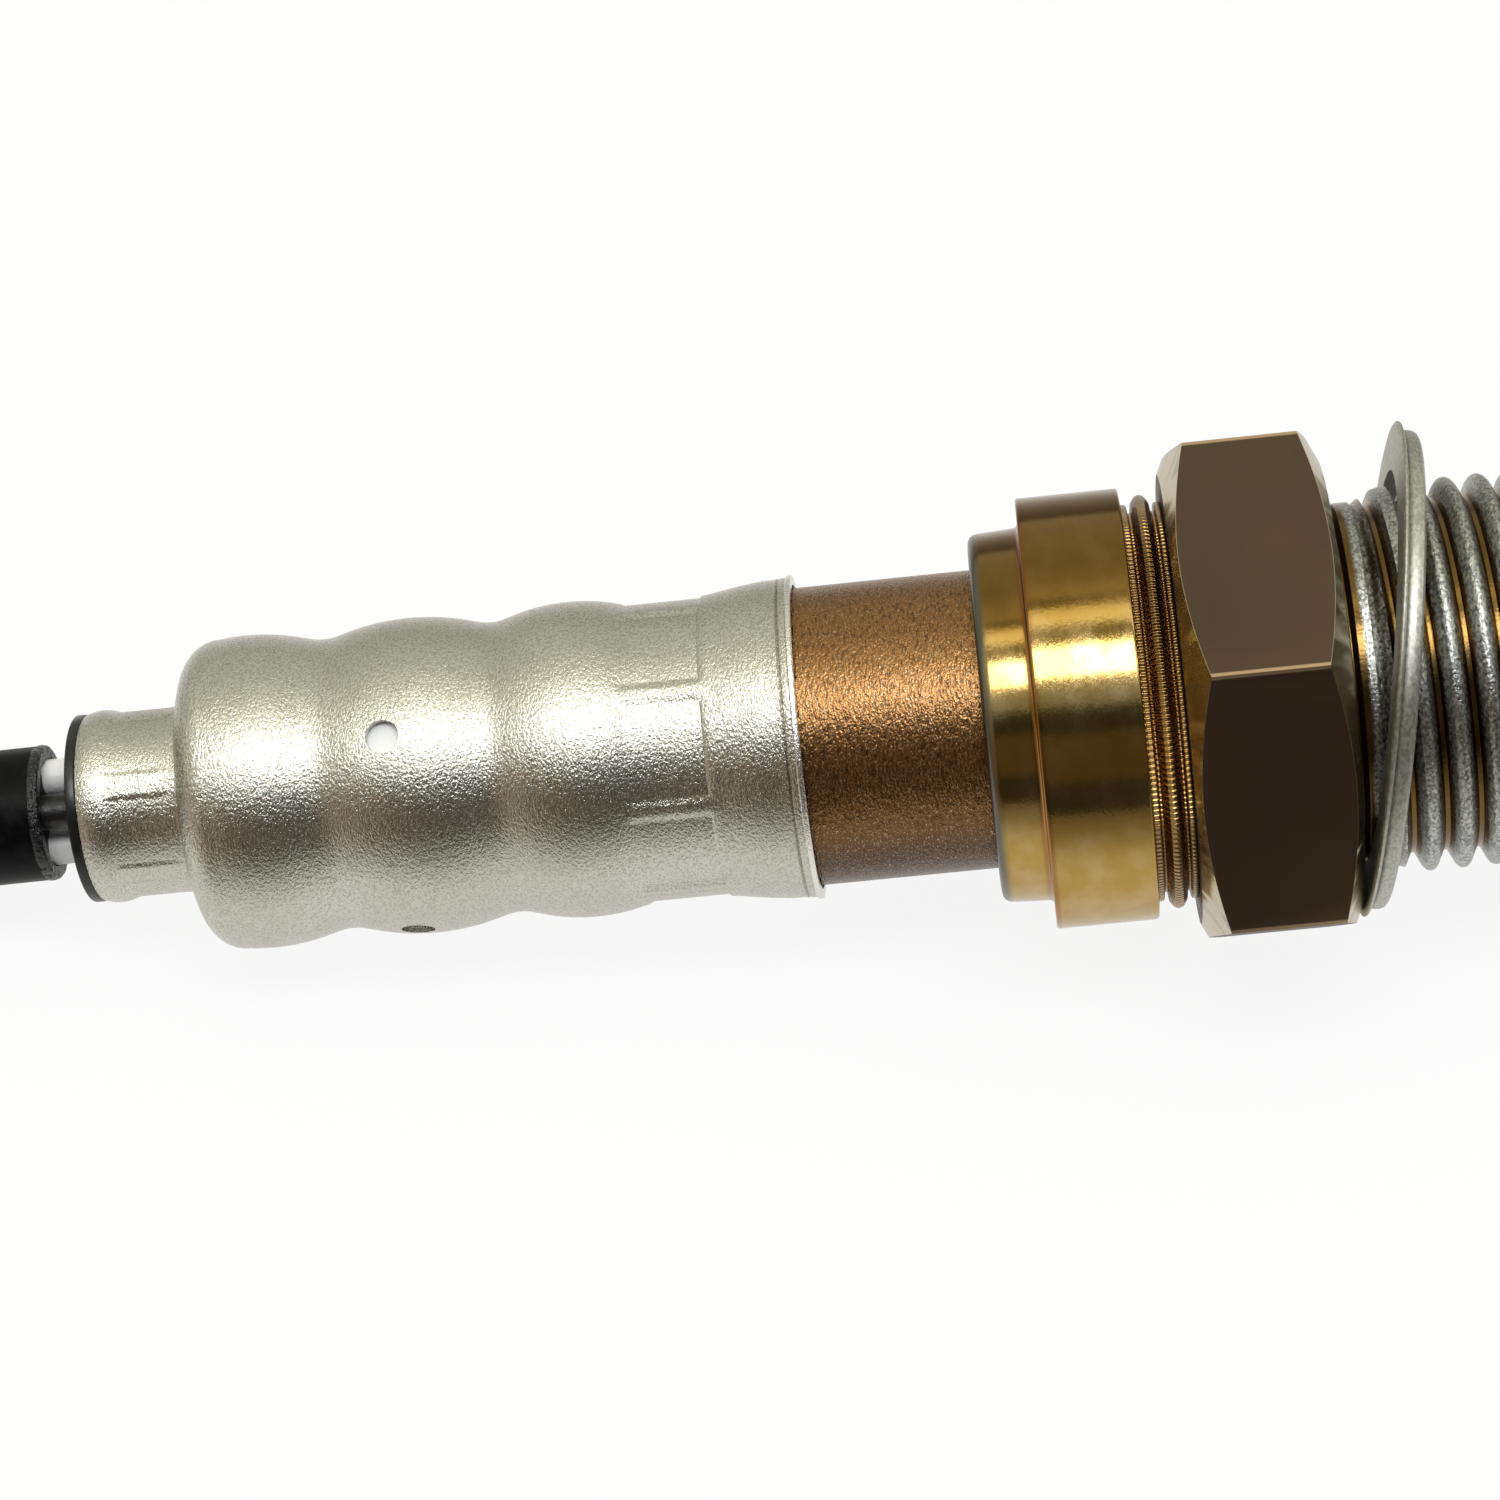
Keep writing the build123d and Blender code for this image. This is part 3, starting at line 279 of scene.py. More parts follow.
class Reading:
    """An output of a node, which can be used in arithmetic."""

    def __init__(self, wiring, socket):
        self.wiring, self.socket = wiring, socket

    def maths(self, operation, *others, **settings):
        return self.wiring.node("ShaderNodeMath", {"operation": operation, **settings}, self, *others)

    def __add__(self, other):
        return self.maths("ADD", other)

    def __mul__(self, other):
        return self.maths("MULTIPLY", other)

    def __sub__(self, other):
        return self.maths("SUBTRACT", other)

    def __rsub__(self, other):
        return self * -1 + other

    def __truediv__(self, other):
        return self.maths("DIVIDE", other)

    __radd__ = __add__
    __rmul__ = __mul__

    def clipped(self):
        return self.maths("ADD", 0.0, use_clamp=True)

    def between(self, low, high):
        """Nought below the lower value, one above the higher one, and a slope between them."""
        return self.wiring.node("ShaderNodeMapRange", {"clamp": True, "interpolation_type": "SMOOTHSTEP"},
                                self, low, high, 0.0, 1.0)

    def band(self, low, high, edge):
        """One between two values, with soft edges."""
        return self.between(low - edge, low + edge) * (1 - self.between(high - edge, high + edge))


class Wiring:
    """A tree of nodes, which is added to from left to right."""

    def __init__(self, tree):
        self.tree = tree

    def feed(self, socket, value):
        if isinstance(value, Reading):
            self.tree.links.new(value.socket, socket)
        else:
            socket.default_value = value

    def node(self, kind, settings=None, *values, out=0, **named):
        made = self.tree.nodes.new(kind)
        for key, value in (settings or {}).items():
            if key == "stops":
                ramp = made.color_ramp
                while len(ramp.elements) < len(value):
                    ramp.elements.new(0.5)
                for element, (position, colour) in zip(ramp.elements, value):
                    element.position, element.color = position, (*colour, 1.0)
            else:
                setattr(made, key, value)
        for socket, value in zip(made.inputs, values):
            self.feed(socket, value)
        for name, value in named.items():
            self.feed(made.inputs[name.replace("_", " ")], value)
        return Reading(self, made.outputs[out])

    def parts(self, vector):
        """The three parts of a place."""
        split = self.node("ShaderNodeSeparateXYZ", None, vector)
        return [Reading(self, split.socket.node.outputs[i]) for i in range(3)]

    def mix(self, amount, first, second):
        """Two colours mixed by an amount."""
        made = self.tree.nodes.new("ShaderNodeMix")
        made.data_type = "RGBA"
        self.feed(made.inputs[0], amount)
        self.feed(made.inputs[6], first)
        self.feed(made.inputs[7], second)
        return Reading(self, made.outputs[2])


class Finish(Wiring):
    """A material and its nodes. Lengths in it are in millimetres."""

    def __init__(self, name, **constants):
        self.material = bpy.data.materials.new(name)
        self.material.use_nodes = True
        super().__init__(self.material.node_tree)
        self.shader = self.tree.nodes["Principled BSDF"]
        for socket, value in constants.items():
            self.shader.inputs[socket.replace("_", " ")].default_value = value

    def place(self, scale=(1, 1, 1)):
        """Millimetres along and across the sensor, stretched by a scale."""
        point = self.node("ShaderNodeTexCoord", out="Object")
        axis = self.node("ShaderNodeMapping", {"vector_type": "TEXTURE"}, point,
                         tuple(SEAT), (0, -TILT, 0), (MM, MM, MM))
        return self.node("ShaderNodeVectorMath", {"operation": "MULTIPLY"}, axis, scale)

    def world_place(self, scale=(1, 1, 1)):
        """Millimetres in the frame's own directions."""
        point = self.node("ShaderNodeTexCoord", out="Object")
        return self.node("ShaderNodeVectorMath", {"operation": "MULTIPLY"}, point,
                         tuple(s / MM for s in scale))

    def from_axis(self):
        """The station, the radius and the sideways and upward parts of a place's direction from the axis."""
        station, y, z = self.parts(self.place())
        radius = (y * y + z * z).maths("SQRT")
        return station, radius, y / radius, z / radius

    def teeth(self, count):
        """A wave round the sensor's axis, from nought to one."""
        _, y, z = self.parts(self.place())
        return z.maths("ARCTAN2", y * -1).maths("MULTIPLY", float(count)).maths("SINE") * 0.5 + 0.5

    def noise(self, place, scale=1.0, detail=2.0, roughness=0.5, distortion=0.0):
        return self.node("ShaderNodeTexNoise", None, Vector=place, Scale=scale, Detail=detail,
                         Roughness=roughness, Distortion=distortion)

    def colour(self, value):
        self.feed(self.shader.inputs["Base Color"], value)

    def roughness(self, value):
        self.feed(self.shader.inputs["Roughness"], value)

    def relief(self, height, depth):
        """A bump of that depth in millimetres where the height goes from nought to one."""
        bump = self.node("ShaderNodeBump", None, Strength=1.0, Distance=depth * MM, Height=height)
        self.feed(self.shader.inputs["Normal"], bump)


def shell_finish():
    """Nickel-coloured sheet steel with a fine sparkling grain, painted shade in the groove just behind its
    front edge, and a near-white lip at that edge that is partly bright cut metal and partly a painted
    highlight.
    """
    f = Finish("shell nickel", Metallic=1.0)
    grain = f.noise(f.place((10.0, 5.8, 5.8)), 1.0, 2.0, 0.55)
    fine = f.noise(f.place((16.0, 11.0, 11.0)), 1.0, 2.0, 0.55)
    cloud = f.noise(f.place((0.30, 0.22, 0.22)), 1.0, 2.0, 0.5)
    base = f.mix(cloud.between(0.35, 0.7), tint("d0cfc4"), tint("d9d8cf"))
    base = f.mix(grain.between(0.38, 0.54), tint("bdbcb0"), base)
    station, _, _, _ = f.from_axis()
    # Painted shade: the groove just behind the front edge is darkened towards a dark olive grey.
    base = f.mix(station.band(-25.12, -24.98, 0.05) * 0.6, base, tint("7d7560"))
    # The lip at the front edge is painted near white: partly its bright cut metal, partly a painted
    # highlight.
    lip = station.between(-24.70, -24.64)
    f.colour(f.mix(lip, base, tint("f2f1ea")))
    f.roughness(fine.between(0.3, 0.7) * 0.10 + 0.19)
    f.relief(grain + fine * 0.5, 0.047)
    return f.material


def brown_finish():
    """Heat-tinted bronze-brown tube, its fine glittering grain pulled round it, with painted shade making it
    darker underneath.
    """
    f = Finish("tube bronze", Metallic=1.0)
    grain = f.noise(f.place((8.5, 2.8, 2.8)), 1.0, 2.0, 0.55)
    fine = f.noise(f.place((15.0, 9.0, 9.0)), 1.0, 1.0, 0.5)
    _, _, side, up = f.from_axis()
    # Painted shade: the underside is a darker brown-grey, the upper side a lighter bronze.
    base = f.mix(up.between(-0.1, 0.6), tint("4a392c"), tint("996f44"))
    base = f.mix(fine.between(0.56, 0.70) * 0.45, base, tint("e0d2b8"))
    f.colour(f.mix(grain.between(0.30, 0.52), tint("6e5235"), base))
    f.roughness(fine.between(0.3, 0.7) * 0.10 + 0.23)
    f.relief(grain + fine * 0.5, 0.052)
    return f.material


def collar_finish():
    """Straw-gold plated steel, turned bright, with finely knurled ribs; painted light and shade make it paler
    gold on the front and browner over the top, back and underside.
    """
    f = Finish("collar straw gold", Metallic=1.0)
    station, radius, side, up = f.from_axis()
    lines = f.noise(f.place((28.0, 0.4, 0.4)), 1.0, 2.0, 0.6)
    grain = f.noise(f.place((7.0, 5.0, 5.0)), 1.0, 2.0, 0.55)
    mottle = f.noise(f.place((0.7, 0.5, 0.5)), 1.0, 3.0, 0.55)
    # Painted light and shade: the front half is painted paler gold as if lit, the top, back and underside
    # darker brown as if shaded; both are the same mottled plating.
    painted_lit_front = (up * 0.26 - side * 0.966).between(0.30, 0.56)
    gold = f.mix(mottle.between(0.35, 0.7), tint("b5944f"), tint("c2a56c"))
    brown = f.mix(mottle.between(0.35, 0.7), tint("80622f"), tint("8a6b37"))
    plated = f.mix(painted_lit_front, brown, gold)
    ribs = station.band(-9.12, -7.2, 0.03)
    plated = f.mix(ribs * 0.7, plated, tint("9c7a4c"))
    step_edge = station.band(-14.1, -13.62, 0.1)
    plated = f.mix(step_edge * 0.5, plated, tint("8f5530"))
    bare_rear = 1 - station.between(-16.05, -15.55)
    f.colour(f.mix(bare_rear, plated, tint("6e6b60")))
    f.roughness(lines * 0.08 + grain * 0.06 + mottle.between(0.4, 0.75) * 0.05 + bare_rear * 0.15 + 0.06)
    f.relief(lines * 0.14 + grain * 0.14 + ribs * f.teeth(210) * 3.2, 0.028)
    return f.material


def hexagon_finish():
    """Dark brown flats with pale, bright chamfers and a thin light line along each edge."""
    f = Finish("hexagon brown", Metallic=1.0)
    station, radius, _, _ = f.from_axis()
    slope = (radius - HEX_FACE_RADIUS) * tan(HEX_CHAMFER)
    chamfer = 1 - (station + HEX_LENGTH - slope).between(0.0, 0.03)
    chamfer = (chamfer + 1 - (station * -1 - slope).between(0.0, 0.03)).clipped()
    edge = radius.between(12.60, 12.64)
    grain = f.noise(f.place((5.0, 5.0, 5.0)), 1.0, 3.0, 0.6)
    cloud = f.noise(f.place((0.2, 0.2, 0.2)), 1.0, 2.0, 0.5)
    flats = f.mix(cloud.between(0.35, 0.7), tint("57473a"), tint("5a4a3c"))
    flats = f.mix(edge, flats, tint("b59a7c"))
    f.colour(f.mix(chamfer, flats, tint("c9bd9c")))
    f.roughness((1 - chamfer) * 0.22 + grain * 0.08 + 0.18)
    f.relief(grain, 0.004)
    return f.material


def thread_finish():
    """Steel with gold grooves under a sparkling grey paste."""
    f = Finish("thread paste grey", Metallic=1.0)
    speck = f.noise(f.place((6.5, 5.0, 5.0)), 1.0, 3.0, 0.65)
    smear = f.noise(f.place((1.1, 0.25, 0.25)), 1.0, 3.0, 0.6)
    station, radius, _, _ = f.from_axis()
    bare = 1 - (radius + smear * 0.7).between(8.50, 8.78)
    bare = (bare * station.between(1.3, 1.7) + 1 - (station + smear * 0.5).between(0.95, 1.2)).clipped()
    grey = f.mix(speck.between(0.36, 0.66), tint("7d7f7d"), tint("d2d3cf"))
    f.colour(f.mix(bare, grey, tint("6f5730")))
    f.roughness((1 - bare) * 0.10 + speck * 0.12 + 0.13)
    f.relief(speck * (1 - bare * 0.8), 0.060)
    return f.material


def ring_finish():
    """Grey gasket steel with a soft satin face and rolled lines."""
    f = Finish("ring steel", Metallic=1.0)
    speck = f.noise(f.world_place((7.0, 4.0, 4.0)), 1.0, 3.0, 0.6)
    smear = f.noise(f.world_place((0.6, 0.25, 0.25)), 1.0, 2.0, 0.5)
    f.colour(f.mix(speck.between(0.35, 0.68), tint("adada5"), tint("cecec6")))
    f.roughness(speck * 0.12 + smear * 0.12 + 0.33)
    f.relief(speck, 0.016)
    return f.material


def tube_finish():
    """Drawn stainless steel, a little browned by heat towards its closed end."""
    f = Finish("tip steel", Metallic=1.0)
    lines = f.noise(f.place((12.0, 0.8, 0.8)), 1.0, 3.0, 0.6)
    grain = f.noise(f.place((6.0, 5.0, 5.0)), 1.0, 2.0, 0.6)
    station, _, _, _ = f.from_axis()
    base = f.mix(station.between(14.0, 27.0), tint("b3aea4"), tint("a08f7a"))
    f.colour(f.mix(lines.between(0.5, 0.8) * 0.4, base, tint("77726a")))
    f.roughness(lines * 0.12 + grain * 0.1 + 0.14)
    f.relief(lines * 0.5 + grain * 0.5, 0.014)
    return f.material


def rubber_finish(name, code, shine=0.45, mottle=0.15, sheen=0.5):
    """Soft black or coloured rubber with a faint skin."""
    f = Finish(name, Specular_IOR_Level=sheen)
    skin = f.noise(f.world_place((1.4, 1.4, 1.4)), 1.0, 4.0, 0.6)
    dark = tint(code)
    pale = (*[min(1.0, c * 1.6 + 0.004) for c in dark[:3]], 1.0)
    f.colour(f.mix(skin.between(0.4, 0.8), dark, pale))
    f.roughness(skin * mottle + shine)
    f.relief(skin, 0.02)
    return f.material


def cut_finish():
    """The torn end of the lead's sleeve: black, with pale grey flecks painted on as glints."""
    f = Finish("cable cut edge")
    torn = f.noise(f.world_place((3.2, 3.2, 3.2)), 1.0, 3.0, 0.65)
    # Painted glints: grey flecks on the black cut end.
    f.colour(f.mix(torn.between(0.62, 0.8), tint("0d0e0f"), tint("4a4c4f")))
    f.roughness(torn * 0.25 + 0.12)
    f.relief(torn, 0.16)
    return f.material


def plastic_finish(name, code, shine=0.4):
    """Moulded plastic with a fine spark-eroded texture."""
    f = Finish(name)
    texture = f.noise(f.world_place((5.0, 5.0, 5.0)), 1.0, 3.0, 0.6)
    cloud = f.noise(f.world_place((0.2, 0.2, 0.2)), 1.0, 2.0, 0.5)
    dark = tint(code)
    pale = (*[min(1.0, c * 1.25 + 0.004) for c in dark[:3]], 1.0)
    f.colour(f.mix(cloud.between(0.35, 0.7), dark, pale))
    f.roughness(texture * 0.2 + shine)
    f.relief(texture, 0.02)
    return f.material


def metal_finish(name, code, shine=0.25):
    """Plain sheet metal with rolling marks."""
    f = Finish(name, Metallic=1.0)
    lines = f.noise(f.world_place((2.0, 7.0, 7.0)), 1.0, 3.0, 0.6)
    bright = tint(code)
    dull = (*[c * 0.6 for c in bright[:3]], 1.0)
    f.colour(f.mix(lines.between(0.45, 0.8), bright, dull))
    f.roughness(lines * 0.2 + shine)
    f.relief(lines, 0.008)
    return f.material


def powder_finish(name, code):
    """Fired ceramic or pressed powder."""
    f = Finish(name)
    grain = f.noise(f.place((4.0, 4.0, 4.0)), 1.0, 4.0, 0.65)
    pale = tint(code)
    deep = (*[c * 0.8 for c in pale[:3]], 1.0)
    f.colour(f.mix(grain.between(0.4, 0.75), pale, deep))
    f.roughness(grain * 0.2 + 0.55)
    f.relief(grain, 0.02)
    return f.material


shell_nickel = shell_finish()
tube_bronze = brown_finish()
collar_gold = collar_finish()
hexagon_brown = hexagon_finish()
thread_grey = thread_finish()
ring_steel = ring_finish()
tip_steel = tube_finish()
cut_edge = cut_finish()
cable_rubber = rubber_finish("cable sleeve black", "050506", 0.32, sheen=0.1)
grommet_rubber = rubber_finish("grommet black", "0e0f10", 0.22)
seal_rubber = rubber_finish("seal orange", "b3531f", 0.4)
white_insulation = plastic_finish("wire white", "f2f3f3", 0.3)
black_insulation = plastic_finish("wire black", "0a0a0b", 0.25)
grey_insulation = plastic_finish("wire grey", "8a8c8e", 0.3)
plug_plastic = plastic_finish("plug grey", "232427", 0.42)
tie_nylon = plastic_finish("tie black", "121213", 0.35)
lock_plastic = plastic_finish("lock pale", "cfcabb", 0.4)
membrane_white = plastic_finish("membrane white", "eef3f5", 0.42)
contact_metal = metal_finish("contact plate", "c9c2b2")
terminal_metal = metal_finish("terminal brass", "c8a866")
plain_steel = metal_finish("plain steel", "9c9a96")
guide_ceramic = powder_finish("ceramic white", "e9e4da")
talc_powder = powder_finish("talc grey", "c9c7bf")


# -------------------------------------------------------------------------------- lead and hank
cable_diameter = 6.32
cable_route = [tuple(on_axis(-60.2) / MM), tuple(on_axis(-67.2) / MM), (-58.6, -0.3, 4.45)]
cable_route += [(x, y, cable_diameter / 2) for x, y in (
    (-67.3, -1.4), (-75.8, -2.6), (-84.3, -3.8), (-98.0, -4.6), (-114.0, -4.1), (-138.0, -3.5),
    (-153.0, -8.7), (-172.2, -22.3), (-188.6, -20.4), (-199.5, -8.2),
    (-199.4, 8.2), (-188.4, 20.5), (-172.0, 22.3), (-153.0, 8.9),
    (-138.0, 3.4), (-124.0, 3.7), (-112.0, 5.2), (-102.3, 7.62),
)]


def laid_line(name, points, diameter):
    """A round cord along a smooth line with those control points, in millimetres."""
    curve = bpy.data.curves.new(name, "CURVE")
    curve.dimensions = "3D"
    curve.bevel_depth = diameter / 2 * MM
    curve.bevel_resolution = 10
    curve.use_fill_caps = True
    curve.resolution_u = 16
    spline = curve.splines.new("NURBS")
    spline.points.add(len(points) - 1)
    for point, (x, y, z) in zip(spline.points, points):
        point.co = (x * MM, y * MM, z * MM, 1.0)
    spline.order_u = 3
    spline.use_endpoint_u = True
    spline.use_smooth = True
    piece = bpy.data.objects.new(name, curve)
    bpy.context.scene.collection.objects.link(piece)
    return piece


cable = laid_line("cable", cable_route, cable_diameter)
cable.data.materials.append(cable_rubber)
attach(cable, "root")
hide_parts("cable_sleeve", "cable_hank")

cable_end_line = [(-60.0, 2.5), (-59.98, 3.1), (-60.3, 3.18), (-60.5, 3.165), (-60.5, 2.5)]
cable_end = turned("cable_end", eased(cable_end_line, 0.1), 96)
cloth = bpy.data.textures.new("torn", "CLOUDS")
cloth.noise_scale = 0.5 * MM
apply_modifier(cable_end, "DISPLACE", texture=cloth, strength=0.12 * MM, mid_level=0.5,
               texture_coords="LOCAL")
set_on_sensor(cable_end)
finished(cable_end, cut_edge, ["cable_sleeve"])

housing = with_eased_edges("connector_housing", 0.25, 3)
finished(housing, plug_plastic, ["connector_housing"])
cap = with_eased_edges("connector_cap", 0.2, 3)
finished(cap, plug_plastic, ["connector_cap"])
tie = with_eased_edges("cable_tie", 0.12, 2)
finished(tie, tie_nylon, ["cable_tie"])


# --------------------------------------------------------------------------------- outer sleeve
shell_wall = 0.4
shell_steps = 240
band_marks = [34.2 + 45 * i for i in range(8)]
neck_marks = [21.5 + 60 * i for i in range(6)]


def softened(line, stations, reach):
    """A line whose kinks at those stations are rounded off."""
    for kink in stations:
        middle = min(line, key=lambda p: abs(p[0] - kink))
        ahead = [p for p in line if p[0] > kink + reach]
        behind = [p for p in line if p[0] < kink - reach]
        start, end = Vector(ahead[-1]), Vector(behind[0])
        bend = [tuple(start * (1 - t) ** 2 + Vector(middle) * 2 * t * (1 - t) + end * t * t)
                for t in (0.2, 0.4, 0.6, 0.8)]
        line = ahead + bend + behind
    return line


# The skin runs from the front edge's lip over three bulges and the rear shoulder to the neck's rim.
skin_front = [(-24.4, 7.46), (-24.46, 7.51), (-24.62, 7.51), (-24.69, 7.425), (-24.95, 7.41),
              (-25.02, 7.365), (-25.1, 7.405), (-25.2, 7.38), (-25.9, 7.36), (-26.7, 7.27), (-27.4, 7.17),
              (-27.9, 7.09), (-28.3, 7.02), (-28.6, 7.0), (-28.75, 7.0), (-30.5, 7.0), (-32.25, 7.0),
              (-32.5, 7.0)]
shoulder_start = (-51.2, 7.25)
rear_arc = arc((-53.8, 6.62), (-50.5, 7.31), (-46.4, 6.6), 16)
outside = skin_front + arc((-32.5, 7.0), (-35.2, 7.335), (-38.5, 6.6), 14)
outside += arc((-38.5, 6.6), (-42.45, 7.355), (-46.4, 6.6), 16)
outside += [p for p in reversed(rear_arc[:-1]) if p[0] > shoulder_start[0]]
outside += [shoulder_start] + arc(shoulder_start, (-52.47, 6.77), (-52.95, 5.35), 9)
outside = softened(outside, (-38.5, -46.4), 0.5)
skin = outside + [(-52.95, 4.75), (-53.01, 4.5), (-53.13, 4.42), (-53.4, 4.4)]
skin += [(s, 4.4) for s in (-54.05, -55.2, -56.3, -56.5)]
skin += arc((-56.5, 4.4), (-57.2, 4.515), (-57.9, 4.35), 6)
lining = [(s, max(r - shell_wall, 3.8)) for s, r in skin if not -53.45 < s < -51.15 or r > 6.95]
inner_corner = [(-51.5, 6.78), (-52.15, 6.25), (-52.55, 5.35), (-52.55, 3.96)]
front_lining = [(s, r) for s, r in lining if s > -51.25]
rear_lining = [(s, 3.96) for s in (-53.3, -57.85)]
whole = skin + list(reversed(front_lining + inner_corner + rear_lining))
shell = turned("shell", whole, shell_steps)


def near_marks(angle, centres, half):
    """Whether a round angle lies within a jaw mark."""
    return any(abs((angle - c + 180) % 360 - 180) <= half for c in centres)


# Each row of jaw marks: its stations, the least radius that it presses, its round angles and half width
for rear, front, least, centres, half in ((-32.4, -28.65, 6.9, band_marks, 19.6),
                                          (-56.45, -53.5, 4.3, neck_marks, 22.0)):
    press(shell, lambda s, r, a: rear < s < front and r > least and near_marks(a, centres, half), 0.984)
drilled(shell, [(-43.1, VENT_ANGLE + 90 * i) for i in range(4)], 1.55, 9.0)
set_on_sensor(shell)
finished(shell, shell_nickel, ["outer_sleeve"], 35)


# --------------------------------------------------------------------------------- brown tube
tube_line = [(-49.4, 5.8), (-34.6, 5.8), (-33.2, 6.46), (-28.4, 6.46), (-25.9, 6.9), (-15.15, 6.9),
             (-15.15, 7.6), (-14.65, 7.6), (-14.65, 6.5), (-25.8, 6.5), (-28.3, 6.06), (-33.1, 6.06),
             (-34.5, 5.4), (-49.4, 5.4)]
brown_tube = turned("brown_tube", eased(tube_line, 0.1), 160)
set_on_sensor(brown_tube)
finished(brown_tube, tube_bronze, ["inner_sleeve"])


# --------------------------------------------------------------------------------- body
collar_line = [
    (-HEX_LENGTH, 8.0), (-HEX_LENGTH, 9.15), (-7.58, 9.15), (-7.58, 8.75), (-7.75, 8.75), (-7.8, 9.2),
    (-8.0, 9.48), (-8.2, 9.55), (-8.4, 9.48), (-8.6, 9.2), (-8.65, 8.75), (-8.82, 8.75), (-8.82, 9.15),
    (-9.14, 9.15), (-9.14, 9.95), (-13.85, 9.95), (-13.85, 8.62), (-16.2, 8.5), (-16.2, 7.35),
    (-15.3, 7.35), (-15.3, BODY_BORE), (-HEX_LENGTH, BODY_BORE),
]
collar = turned("collar", eased(collar_line, 0.12, {14: 0.16, 15: 0.14, 16: 0.22, 17: 0.95}, 4), 192)
set_on_sensor(collar)
finished(collar, collar_gold, ["hex_body"])

put_down()
bpy.ops.mesh.primitive_cylinder_add(vertices=6, radius=HEX_WIDTH / sqrt(3) * MM, depth=HEX_LENGTH * MM,
                                    location=(-HEX_LENGTH / 2 * MM, 0, 0), rotation=(0, pi / 2, 0))
hexagon = bpy.context.object
hexagon.name = "hexagon"
settle(hexagon)
top = 13.2
run = (top - HEX_FACE_RADIUS) * tan(HEX_CHAMFER)
envelope_line = [(-HEX_LENGTH, BODY_BORE), (-HEX_LENGTH, HEX_FACE_RADIUS), (-HEX_LENGTH + run, top),
                 (-run, top), (0, HEX_FACE_RADIUS), (0, BODY_BORE)]
envelope = turned("envelope", envelope_line, 256)
cut_away(hexagon, [envelope], "INTERSECT")
apply_modifier(hexagon, "BEVEL", width=0.08 * MM, segments=2, limit_method="ANGLE",
               angle_limit=radians(20))
set_on_sensor(hexagon)
finished(hexagon, hexagon_brown, ["hex_body"])

neck_line = [(0, 6.2), (0, 8.2), (0.25, 8.03), (0.5, 8.24), (1.2, 8.24), (1.4, 8.05), (1.7, 7.98),
             (1.7, 6.2)]
neck = turned("neck", eased(neck_line, 0.08), 160)
set_on_sensor(neck)
finished(neck, thread_grey, ["hex_body"])

pitch = 1.5
thread_turns = 11
thread_steps = 96
thread_rear, thread_front = 1.17, 12.47
put_down()
bpy.ops.mesh.primitive_plane_add(size=0.1 * MM, location=(-0.98 * MM, 0, 8.06 * MM))
thread = bpy.context.object
thread.name = "thread"
bpy.ops.object.mode_set(mode="EDIT")
bpy.ops.mesh.merge(type="CENTER")
for step_x, step_r in ((0.1, -0.02), (0.1, 0.02), (0.13, 0.25), (0.2, 0.42), (0.12, 0.14), (0.1, 0.05),
                       (0.1, 0.02), (0.1, -0.02), (0.1, -0.05), (0.12, -0.14), (0.2, -0.42), (0.13, -0.25)):
    bpy.ops.mesh.extrude_vertices_move(TRANSFORM_OT_translate={"value": (step_x * MM, 0, step_r * MM)})
put_down()
settle(thread)
apply_modifier(thread, "SCREW", axis="X", angle=2 * pi, screw_offset=pitch * MM, iterations=thread_turns,
               steps=thread_steps, render_steps=thread_steps, use_merge_vertices=True, merge_threshold=2e-6)
take_up(thread)
bpy.ops.object.mode_set(mode="EDIT")
bpy.ops.mesh.select_all(action="SELECT")
bpy.ops.mesh.remove_doubles(threshold=4e-6)
for station, outer in ((thread_rear, False), (thread_front, True)):
    bpy.ops.mesh.select_all(action="SELECT")
    bpy.ops.mesh.bisect(plane_co=(station * MM, 0, 0), plane_no=(1, 0, 0), use_fill=True,
                        clear_inner=not outer, clear_outer=outer)
bpy.ops.mesh.select_all(action="SELECT")
bpy.ops.mesh.normals_make_consistent(inside=False)
put_down()
blank_line = [(1.35, 6.2), (1.35, 8.1), (2.0, 8.6), (3.3, 8.95), (11.4, 8.95), (12.2, 7.95),
              (12.3, 7.9), (12.3, 6.2)]
blank = turned("blank", blank_line, 192)
cut_away(thread, [blank], "INTERSECT")
set_on_sensor(thread)
finished(thread, thread_grey, ["hex_body"])

nose_line = [(12.3, 7.1), (12.3, 7.9), (13.2, 7.9), (13.2, 6.1), (12.7, 6.1), (12.7, 7.1)]
nose = turned("nose", eased(nose_line, 0.15), 160)
set_on_sensor(nose)
finished(nose, thread_grey, ["hex_body"])


# --------------------------------------------------------------------------------- sealing ring
ring_line = [(-0.23, 10.87), (-0.25, 11.05), (-0.28, 11.24), (-0.34, 11.35), (-0.42, 11.37), (-0.5, 11.26),
             (-0.55, 11.0), (-0.55, 9.12), (0.55, 9.12), (0.55, 10.5), (0.52, 10.72), (0.42, 10.88),
             (0.25, 10.965), (0.0, 10.985), (-0.14, 10.95), (-0.2, 10.9)]
ring = turned("gasket", ring_line, 192)
lean, lean_angle, shift = radians(9.4), radians(33.5), 0.4
ring_half_thickness = 0.55
ring_clearance = 0.05
lean_up = Vector((0, cos(lean_angle), sin(lean_angle)))
facing = Vector((cos(lean), 0, 0)) - lean_up * sin(lean)
rise = lean_up * cos(lean) + Vector((sin(lean), 0, 0))
ring_reach = (HEX_FACE_RADIUS + shift) * sin(lean) + ring_half_thickness + ring_clearance
ring_station = ring_reach / cos(lean)
turned_to = Matrix((facing, rise, facing.cross(rise))).transposed().to_4x4()
ring.matrix_world = Matrix.Translation((Vector((ring_station, 0, 0)) + lean_up * shift) * MM) @ turned_to
settle(ring)
set_on_sensor(ring)
finished(ring, ring_steel, ["sealing_ring"])


